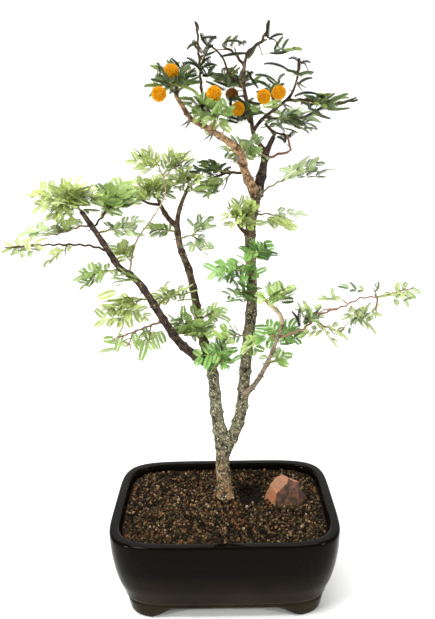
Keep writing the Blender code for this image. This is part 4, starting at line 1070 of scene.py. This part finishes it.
def make_bark(settings):
    """One skin with plates and cracks carved along the grain, cut into a piece for each sort of bark."""
    skeleton = Skeleton()
    points, normals, quads = bark_body(skeleton, settings)
    names, radii = nearest_limb(skeleton, points)
    plates = np.array([abs(noise.noise(Vector(p))) for p in points * np.array(BARK_PLATES)])
    lumps = np.array([noise.noise(Vector(p)) for p in points * BARK_LUMPS])
    relief = settings.relief * np.clip(radii / (FULL_RELIEF_RADIUS * MM), *RELIEF_RANGE)
    raised_by = BARK_LUMP_HEIGHT * lumps - CRACK_DEPTH * (CRACK_WIDTH - np.minimum(plates, CRACK_WIDTH))
    points = points + normals * (relief * raised_by)[:, None]
    points[:, 2] = np.maximum(points[:, 2], TRUNK_PATH[0][2] * MM - FOOT_CUT * MM)
    kinds = np.array([BARK_OF[name] for name in names])
    for kind in BARKS:
        faces = quads[kinds[quads[:, 0]] == kind]
        used, corners = np.unique(faces, return_inverse=True)
        pile = Pile()
        pile.add(points[used], [corners.reshape(-1, 4)])
        bark = pile.piece(kind + "_bark", [bark_material(kind)], BARKS[kind].slot, smooth=True)
        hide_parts(*[name for name in skeleton.paths if BARK_OF[name] == kind])


def any_way(rnd, *fixed):
    """A direction from the seeded draw, for the parts that aren't fixed."""
    return [rnd.uniform(-1, 1) for _ in range(3 - len(fixed))] + list(fixed)


def spine_pair(ahead, side, turn, lean):
    """The headings of two spines that part at a node."""
    for angle in (-turn, turn):
        yield unit(side * math.cos(angle) + np.cross(ahead, side) * math.sin(angle) + ahead * lean)


def limb_thorns(skeleton, pile):
    """Paired grey spines: long ones where the source has them, short spurs on the older limbs."""
    for limb in LIMBS:
        path = skeleton.paths[limb.name]
        rnd = random.Random(limb.name)
        ahead = unit(path[-1] - path[0])
        for k in range(limb.thorns):
            foot = path[2 + (k + 1) * (len(path) - 2) // (limb.thorns + 1)]
            side = np.array((math.copysign(0.9, ahead[0]), rnd.uniform(-0.5, 0.1), -0.55))
            side = unit(side - ahead * side.dot(ahead))
            for turn in (-THORN_SPREAD, THORN_SPREAD):
                heading = unit(side + np.cross(ahead, side) * turn)
                spine = foot + heading * np.linspace(0, THORN_LENGTH * MM, len(THORN_TAPER))[:, None]
                pile.add(*tube(spine, THORN_RADIUS * MM * THORN_TAPER, 6))
        fine = smooth_path(path, NODE_STEP * MM)
        radii = np.linspace(limb.root, limb.tip, len(fine)) * MM
        for centre, after, radius in zip(fine[1:-1], fine[2:], radii[1:-1]):
            ahead = unit(after - centre)
            side = unit(np.cross(ahead, any_way(rnd)))
            for heading in spine_pair(ahead, side, *SPUR_SPREAD):
                tip = centre + heading * (radius + rnd.uniform(*SPUR_LENGTH) * MM)
                pile.add(*spike(centre + heading * radius * 0.6, tip, SPUR_RADIUS * MM, 5))


def add_row(leaves, stalks, root, tip, up, bend, fold, leaflet, shade, settings):
    """One feathery row: a bent rib with pairs of oblong leaflets that fold up."""
    length = np.linalg.norm(tip - root)
    heading = (tip - root) / length
    count = max(5, round(length / settings.pitch))
    t = (np.arange(count) + 0.9) / (count + 0.4)
    centre = root + heading * (length * t)[:, None] + up * (4 * bend * t * (1 - t))[:, None]
    along = heading + up * (4 * bend * (1 - 2 * t) / length)[:, None]
    along /= np.linalg.norm(along, axis=1)[:, None]
    across = np.cross(along, up)
    across /= np.linalg.norm(across, axis=1)[:, None]
    normal = np.cross(across, along)
    size = leaflet * MM * (0.42 + 0.58 * np.sin(np.pi * t ** 0.85) ** 0.7)
    faces = np.arange(count * len(LEAFLET_OUTLINE)).reshape(count, -1)
    for side in (-1, 1):
        sideways = across * side * math.cos(fold) + normal * math.sin(fold)
        reach = along * math.cos(LEAFLET_LEAN) + sideways * math.sin(LEAFLET_LEAN)
        wide = along * math.sin(LEAFLET_LEAN) - sideways * math.cos(LEAFLET_LEAN)
        lengthwise = (size[:, None] * LEAFLET_OUTLINE[:, 0])[:, :, None] * reach[:, None, :]
        crosswise = (settings.width * LEAFLET_OUTLINE[:, 1])[None, :, None] * wide[:, None, :]
        leaves.add(centre[:, None, :] + lengthwise + crosswise, [faces], shade)
    middle = (root + tip) / 2 + up * bend
    stalks.add(*tube(np.array([root, middle, tip]), np.array([RIB_RADIUS, RIB_RADIUS * 0.8, 0.08]) * MM, 3))


def leaf_shade(point, tuft, rnd):
    """The painted light of a leaf: painted shade low in its tuft, painted sunlight on top."""
    height = (point[2] - place(tuft.middle)[2]) / (tuft.half[2] * MM)
    return int(np.clip(round(MIDDLE_SHADE + SHADE_RISE * height + rnd.gauss(0, SHADE_DRIFT)), 0, 3))


def add_leaf(skeleton, leaves, stalks, tuft, base, tip, form, rnd, settings):
    """A twice-cut leaf: a stalk from the twig with pairs of rows, as far as they fit the tuft."""
    ahead = unit(tip - base)
    tilt = unit(np.array((rnd.uniform(-form.tilt, form.tilt), -rnd.uniform(0, form.tilt), 1.0)))
    across = unit(np.cross(ahead, tilt))
    normal = np.cross(across, ahead)
    rib = np.linalg.norm(tip - base)
    if not skeleton.is_clear(base + (tip - base) * 0.3, tip, RIB_RADIUS * MM):
        return
    shade = leaf_shade((base + tip) / 2, tuft, rnd)
    pairs = min(MOST_PAIRS, max(2, round(rib * LEAFY_SHARE / (form.gap * MM))))
    bow = normal * rib * rnd.uniform(*LEAF_BOW)
    grown = False
    for pair in range(pairs):
        share = 1 - (pairs - 1 - pair) * form.gap * MM / rib
        root = base + (tip - base) * share + bow * 4 * share * (1 - share)
        parting = LAST_SPREAD if pair == pairs - 1 else 1.0
        spread = ROW_SPREAD * parting + rnd.uniform(-ROW_DRIFT, ROW_DRIFT)
        for side in (-1, 1):
            heading = ahead * math.cos(spread) + across * side * math.sin(spread)
            heading = unit(heading + normal * (form.lift + rnd.uniform(-ROW_DRIFT, ROW_DRIFT)))
            full = form.row * MM * settings.row * rnd.uniform(*ROW_LENGTHS) * (1.0 if pair else FIRST_ROW)
            bend = form.bend * rnd.uniform(*ROW_BENDS) * full / 2
            for shrink in ROW_SHARES:
                end = root + heading * full * shrink
                if in_space(end, tuft) and skeleton.is_clear(root, end, ROW_CLEARANCE * MM):
                    # Now and then a row is one step lighter: painted light
                    add_row(leaves, stalks, root, end, normal, bend, form.fold, form.leaflet,
                            min(3, shade + (rnd.random() < LIT_ROWS)), settings)
                    grown = True
                    break
    if grown:
        path = np.array([base + (tip - base) * s + bow * 4 * s * (1 - s) for s in np.linspace(0, 1, 5)])
        stalks.add(*tube(path, np.linspace(STALK_RADIUS, RIB_RADIUS, 5) * MM, 4))


def zigzag(path, rnd):
    """A path that turns a little at each leaf node, as acacia twigs do."""
    path = path.copy()
    side = unit(np.cross(path[-1] - path[0], any_way(rnd, 0.4)))
    path[1:-1:2] += side * ZIGZAG * MM
    path[2:-1:2] -= side * ZIGZAG * MM
    return path


def add_twig(twigs, thorns, path, radii, shade, spine, rnd):
    """A slender twig with a pair of spines at each node; radii are those of its root and tip."""
    twigs.add(*tube(path, np.linspace(*radii, len(path)) * MM, 6), shade=shade)
    for centre, after in zip(path[1:-1:2], path[2::2]):
        ahead = unit(after - centre)
        side = unit(np.cross(ahead, any_way(rnd, 0.2)))
        for heading in spine_pair(ahead, side, *SPINE_SPREAD):
            tip = centre + heading * rnd.uniform(*SPINE_SHARES) * spine * MM
            thorns.add(*spike(centre, tip, SPINE_RADIUS * MM))


def finer_twigs(tuft, wood, rnd):
    """Twigs of the next order, from the wood so far to the outer parts of a tuft."""
    for direction in directions(max(1, tuft.leaves // 2), rnd):
        end = in_tuft(tuft, direction, rnd.uniform(*FINER_REACH))
        start, after = min(wood, key=lambda rod: np.linalg.norm(rod[0] - end))
        root = start + (after - start) * rnd.uniform(0.2, 0.8)
        if np.linalg.norm(end - root) > SHORTEST_TWIG * MM:
            yield smooth_path([root, raised(root, end, rnd, 2.5), end], FINER_STEP * MM)


def grow_mass(skeleton, mass, leaves, stalks, twigs, thorns, settings):
    """One mass by the source's rule: stem and side twigs, then finer twigs and a leaf for each place."""
    form = FORMS[mass.kind]
    rnd = random.Random(mass.name)
    extra = random.Random(mass.name + " finer")
    stem = skeleton.stem(mass)
    wood = list(zip(stem, stem[1:]))

    def sprout(path, radii, spine):
        add_twig(twigs, thorns, zigzag(path, extra), radii, mass.shoot, spine, extra)

    if form.slot == "dark_leaf":
        sprout(smooth_path(stem, SHOOT_STEP * MM), DARK_STEM_RADIUS, DARK_SPINE_LENGTH)
    else:
        sprout(smooth_path(stem, SHOOT_STEP * MM), STEM_RADIUS, SPINE_LENGTH)
    for tuft in [Tuft(*values) for values in mass.tufts]:
        for twig in grow_twigs(tuft, stem, rnd):
            if skeleton.lets_by(twig):
                sprout(smooth_path(twig, TWIG_STEP * MM), (TWIG_RADIUS, TWIG_TIP), SPINE_LENGTH)
                wood += list(zip(twig, twig[1:]))
        for fine in list(finer_twigs(tuft, wood, extra)):
            if skeleton.lets_by(fine[1:]):
                sprout(fine, FINER_RADIUS, FINER_SPINE_LENGTH)
                wood += list(zip(fine, fine[1:]))
        near = [(a, b) for a, b in wood for _ in range(2) if in_space(b, tuft)]
        nodes = [a + (b - a) * extra.uniform(0.1, 0.9) for a, b in near] or [stem[-2]]
        full = form.fullness * mass.thin * settings.fullness
        for direction in directions(max(1, round(tuft.leaves * full)), extra):
            tip = in_tuft(tuft, direction, extra.uniform(*LEAF_REACH))
            length = LEAF_LENGTH * MM * extra.uniform(*LEAF_LENGTHS)
            base = min(nodes, key=lambda p: abs(np.linalg.norm(p - tip) - length))
            if np.linalg.norm(tip - base) > SHORTEST_LEAF * MM:
                add_leaf(skeleton, leaves, stalks, tuft, base, tip, form, extra, settings)


def add_blades(leaves, stalks, settings):
    """The single rows: dark ones stand on edge, open ones face the front."""
    rnd = random.Random("blades")
    for kind, start, end, sag in [(kind, *row) for kind, rows in BLADES for row in rows]:
        root = place(start)
        tip = place(end)
        is_deep = kind == "deep"
        facing = (rnd.uniform(-0.3, 0.3), -0.4, 1.0) if is_deep else (rnd.uniform(-0.4, 0.4), -1.0, 0.3)
        up = unit(np.cross(np.cross(tip - root, facing), tip - root))
        # Deep rows take the darker, painted-shade steps of their kind, open rows the middle, lighter ones
        shade = rnd.choice((0, 0, 1) if is_deep else (1, 2, 2))
        add_row(leaves[kind], stalks, root, tip, up, sag * MM, *BLADE_FORMS[kind], shade, settings)


def make_foliage(settings):
    """All twigs, thorns, leaf stalks and leaves, each kind joined into one piece."""
    skeleton = Skeleton()
    stalks = Pile()
    twigs = Pile()
    thorns = Pile()
    limb_thorns(skeleton, thorns)
    leaves = {kind: Pile() for kind in FORMS}
    for mass in MASSES:
        grow_mass(skeleton, mass, leaves[mass.kind], stalks, twigs, thorns, settings)
    add_blades(leaves, stalks, settings)
    for bends, radii, shade in BARE_TWIGS:
        fine = smooth_path(places(bends), SHOOT_STEP * MM)
        add_twig(twigs, thorns, fine, radii, shade, BARE_SPINE_LENGTH, random.Random(bends[0][0]))
    for kind, pile in leaves.items():
        looks = [leaf_material(kind, index, code) for index, code in enumerate(FORMS[kind].colours.split())]
        leafage = pile.piece(kind + "_leaves", looks, FORMS[kind].slot)
        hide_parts(*[mass.name for mass in MASSES if mass.kind == kind])
    shoots = twigs.piece("shoots", [plain_material(*look) for look in SHOOT_LOOKS], "dark_bark", smooth=True)
    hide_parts(*[mass.name for mass in MASSES])
    ribs = stalks.piece("leaf_stalks", [plain_material(*LEAF_STALK_LOOK)], "green_leaf", smooth=True)
    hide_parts(*[mass.name for mass in MASSES])
    thorns.piece("thorns", [plain_material(*THORN_LOOK)], "bark")


def make_flowers(settings):
    """Pompom heads: a ball of stamens, each a fine thread with a pollen tip, on a short stalk."""
    skeleton = Skeleton()
    core, core_faces = ball_mesh(2)
    heads = Pile()
    stalks = Pile()
    for mass, flower in [(mass, flower) for mass in MASSES for flower in mass.flowers]:
        centre = place(flower)
        rnd = random.Random(mass.name + str(flower))
        foot = min(skeleton.stem(mass), key=lambda p: np.linalg.norm(p - centre))
        knee = (foot + centre) / 2 + np.array((0, 0, FLOWER_STALK_RISE * MM))
        stalk = smooth_path([foot, knee, centre], 2 * MM)
        stalks.add(*tube(stalk, np.full(len(stalk), FLOWER_STALK_RADIUS * MM), 6))
        is_spent = mass.name == SPENT_HEAD
        # The core and a quarter of the stamens are deep orange: the heads' own darker tone and painted shade
        heads.add(core * settings.head * CORE_SHARE + centre, [core_faces], SPENT if is_spent else DEEP_ORANGE_AND_SHADE)
        for direction in directions(settings.stamens, rnd):
            heading = unit(direction / np.array((1, 1, FLATTENING)))
            reach = settings.head * rnd.uniform(*HEAD_REACH)
            shade = SPENT if is_spent else rnd.choices((GOLD, DEEP_ORANGE_AND_SHADE), (GOLD_SHARE, 1 - GOLD_SHARE))[0]
            tip = centre + heading * reach
            neck = tip - heading * POLLEN_LENGTH * MM
            for end in (centre + heading * settings.head * STAMEN_FOOT, tip):
                heads.add(*spike(neck, end, POLLEN_RADIUS * MM, 5), shade=shade)
    heads.piece("flower_heads", [plain_material(*look) for look in HEAD_LOOKS], "flower")
    stalks.piece("flower_stalks", [plain_material(*FLOWER_STALK_LOOK)], "green_leaf", smooth=True)


# Camera: fitted to the pot's outline, placed from the pot's centre, with its lens in millimetres
CAMERA_BACK = 540.0
CAMERA_UP = 398.0
CAMERA_PITCH = math.radians(14.67)
CAMERA_ROLL = math.radians(-0.83)
CAMERA_LENS = 38.62
CAMERA_SENSOR = 36.0
CAMERA_SHIFT = -0.0064

# Lights, in metres: where each softbox stands, its side and its share of the key power
PLANT_MIDDLE = (0.0, 0.0, 0.25)
LAMPS = (("key_softbox", (-0.55, -0.55, 1.25), 0.28, 1.0),
         ("right_lamp", (0.9, -0.7, 0.55), 0.16, 0.45),
         ("left_lamp", (-0.88, -0.71, 0.5), 0.16, 0.45))
SWEEP_LAMP = ((0.0, 0.9, 2.4), 1.6, (0.0, 1.6, 0.6))

# Paper sweep, in metres: half its width, how far it reaches to the front, and its curve up behind
SWEEP_HALF = 4.0
SWEEP_FRONT = -3.0
SWEEP_FLAT = 1.2
SWEEP_CURVE = 0.9
SWEEP_TOP = 4.0


def make_camera():
    """A camera that sees the pot from the front and a little from above."""
    data = bpy.data.cameras.new("camera")
    data.lens = CAMERA_LENS
    data.sensor_width = CAMERA_SENSOR
    data.shift_x = CAMERA_SHIFT
    data.clip_start = 0.01
    camera = link("camera", data)
    turn = Matrix.Rotation(math.pi / 2 - CAMERA_PITCH, 4, "X") @ Matrix.Rotation(CAMERA_ROLL, 4, "Z")
    camera.matrix_world = Matrix.Translation(Vector(place((0, -CAMERA_BACK, CAMERA_UP)))) @ turn
    bpy.context.scene.camera = camera


def make_floor(settings):
    """A pale paper sweep: flat under the pot and curved up behind it."""
    outline = [(SWEEP_FRONT, 0.0), (SWEEP_FLAT, 0.0)]
    for turn in np.linspace(0, math.pi / 2, 16):
        outline.append((SWEEP_FLAT + SWEEP_CURVE * math.sin(turn), SWEEP_CURVE * (1 - math.cos(turn))))
    outline.append((SWEEP_FLAT + SWEEP_CURVE, SWEEP_TOP))
    points = [(side * SWEEP_HALF, y, z) for y, z in outline for side in (-1, 1)]
    faces = [(2 * i, 2 * i + 1, 2 * i + 3, 2 * i + 2) for i in range(len(outline) - 1)]
    mesh = bpy.data.meshes.new("paper_sweep")
    mesh.from_pydata(points, [], faces)
    mesh.shade_smooth()
    look = Look("Paper, matte, white", Roughness=0.9, Specular_IOR_Level=0.1,
                Base_Color=list(settings.floor) + [1.0])
    mesh.materials.append(look.material)
    link("paper_sweep", mesh)


def add_light(name, where, size, power, aim=PLANT_MIDDLE):
    """A square softbox aimed at a place."""
    data = bpy.data.lights.new(name, "AREA")
    data.size = size
    data.energy = power
    light = link(name, data)
    light.location = where
    light.rotation_euler = (Vector(aim) - Vector(where)).to_track_quat("-Z", "Y").to_euler()


def make_stage(settings):
    """Camera, backdrop, softboxes and an even grey studio all round."""
    make_camera()
    make_floor(settings)
    for name, where, size, share in LAMPS:
        add_light(name, where, size, settings.key * share)
    where, size, aim = SWEEP_LAMP
    add_light("sweep_light", where, size, settings.sweep, aim)
    world = bpy.data.worlds.new("studio")
    world.use_nodes = True
    background = world.node_tree.nodes["Background"]
    background.inputs[0].default_value = linear(STUDIO_GREY)
    background.inputs[1].default_value = settings.ambient
    bpy.context.scene.world = world
    bpy.context.scene.view_settings.view_transform = "Standard"


def length(name, description, value):
    """A length that a user can change, in metres."""
    return bpy.props.FloatProperty(name=name, description=description, default=value, min=0.0, unit="LENGTH",
                                   precision=4)


def number(name, description, value, low, high, **more):
    """A plain number that a user can change."""
    return bpy.props.FloatProperty(name=name, description=description, default=value, min=low, max=high,
                                   **more)


def colour(name, description, code):
    """A colour that a user can change."""
    return bpy.props.FloatVectorProperty(name=name, description=description, default=linear(code)[:3],
                                         subtype="COLOR", min=0.0, max=1.0)


def power(name, description, value):
    """A light's power that a user can change."""
    return bpy.props.FloatProperty(name=name, description=description, default=value, unit="POWER")


class BONSAI_PG_pot(bpy.types.PropertyGroup):
    # The glaze's own colour; the olive low down is a painted floor reflection
    glaze: colour("Glaze", "Colour of the glaze where it lies thick", GLAZE_DARK)
    gloss: number("Roughness", "Roughness of the glaze; low is glossy", 0.04, 0.0, 1.0, subtype="FACTOR")


class BONSAI_PG_soil(bpy.types.PropertyGroup):
    grain: length("Grain", "Middle size of a soil granule", 2.5 * MM)


class BONSAI_PG_bark(bpy.types.PropertyGroup):
    relief: length("Relief", "Depth of the bark's cracks on the trunk", 0.45 * MM)
    voxel: length("Detail", "Grid on which trunk and limbs grow together", 0.5 * MM)


class BONSAI_PG_foliage(bpy.types.PropertyGroup):
    width: length("Leaflet width", "Width of a leaflet", 1.5 * MM)
    pitch: length("Leaflet spacing", "Distance between leaflets along a row", 1.45 * MM)
    row: number("Row length", "Length of the rows as a share of each kind's own", 1.0, 0.2, 1.5)
    fullness: number("Fullness", "Share of the leaves that grow", 1.0, 0.1, 2.0, subtype="FACTOR")


class BONSAI_PG_flowers(bpy.types.PropertyGroup):
    head: length("Head radius", "Radius of a flower head", 6.0 * MM)
    stamens: bpy.props.IntProperty(name="Stamens", description="Stamens on each flower head", default=520,
                                   min=50)


class BONSAI_PG_stage(bpy.types.PropertyGroup):
    floor: colour("Floor", "Colour of the floor and backdrop", PAPER_WHITE)
    key: power("Key light", "Power of the key softbox", 15.0)
    sweep: power("Backdrop light", "Power of the light on the backdrop", 60.0)
    ambient: bpy.props.FloatProperty(name="Ambient", description="Strength of the light from all round",
                                     default=0.56, min=0.0)


class BONSAI_OT_pot(bpy.types.Operator):
    """Throw the glazed pot with its arched feet"""
    bl_idname = "bonsai.pot"
    bl_label = "Pot"

    def execute(self, context):
        make_pot(context.scene.bonsai_pot)
        return {"FINISHED"}


class BONSAI_OT_soil(bpy.types.Operator):
    """Fill the pot with granules"""
    bl_idname = "bonsai.soil"
    bl_label = "Soil"

    def execute(self, context):
        make_soil(context.scene.bonsai_soil)
        return {"FINISHED"}


class BONSAI_OT_stone(bpy.types.Operator):
    """Lay the broken stone on the soil"""
    bl_idname = "bonsai.stone"
    bl_label = "Stone"

    def execute(self, context):
        make_stone()
        return {"FINISHED"}


class BONSAI_OT_bark(bpy.types.Operator):
    """Grow trunk and limbs with their bark"""
    bl_idname = "bonsai.bark"
    bl_label = "Trunk and limbs"

    def execute(self, context):
        make_bark(context.scene.bonsai_bark)
        return {"FINISHED"}


class BONSAI_OT_foliage(bpy.types.Operator):
    """Grow twigs, thorns and leaves"""
    bl_idname = "bonsai.foliage"
    bl_label = "Foliage"

    def execute(self, context):
        make_foliage(context.scene.bonsai_foliage)
        return {"FINISHED"}


class BONSAI_OT_flowers(bpy.types.Operator):
    """Open the flower heads"""
    bl_idname = "bonsai.flowers"
    bl_label = "Flowers"

    def execute(self, context):
        make_flowers(context.scene.bonsai_flowers)
        return {"FINISHED"}


class BONSAI_OT_stage(bpy.types.Operator):
    """Set up floor, lights and camera"""
    bl_idname = "bonsai.stage"
    bl_label = "Stage"

    def execute(self, context):
        make_stage(context.scene.bonsai_stage)
        return {"FINISHED"}


STEPS = ("pot", "soil", "stone", "bark", "foliage", "flowers", "stage")


class BONSAI_PT_panel(bpy.types.Panel):
    bl_idname = "BONSAI_PT_panel"
    bl_label = "Bonsai"
    bl_space_type = "VIEW_3D"
    bl_region_type = "UI"
    bl_category = "Bonsai"

    def draw(self, context):
        for step in STEPS:
            self.layout.operator("bonsai." + step)
            settings = getattr(context.scene, "bonsai_" + step, None)
            for name in getattr(settings, "__annotations__", {}):
                self.layout.prop(settings, name)


SETTINGS = {"bonsai_pot": BONSAI_PG_pot, "bonsai_soil": BONSAI_PG_soil, "bonsai_bark": BONSAI_PG_bark,
            "bonsai_foliage": BONSAI_PG_foliage, "bonsai_flowers": BONSAI_PG_flowers,
            "bonsai_stage": BONSAI_PG_stage}
CLASSES = (*SETTINGS.values(), BONSAI_OT_pot, BONSAI_OT_soil, BONSAI_OT_stone, BONSAI_OT_bark,
           BONSAI_OT_foliage, BONSAI_OT_flowers, BONSAI_OT_stage, BONSAI_PT_panel)


def register():
    for kind in CLASSES:
        bpy.utils.register_class(kind)
    for name, kind in SETTINGS.items():
        setattr(bpy.types.Scene, name, bpy.props.PointerProperty(type=kind))


def unregister():
    for name in SETTINGS:
        delattr(bpy.types.Scene, name)
    for kind in reversed(CLASSES):
        bpy.utils.unregister_class(kind)


def main():
    register()
    for step in STEPS:
        getattr(bpy.ops.bonsai, step)()


if __name__ == "__main__":
    main()
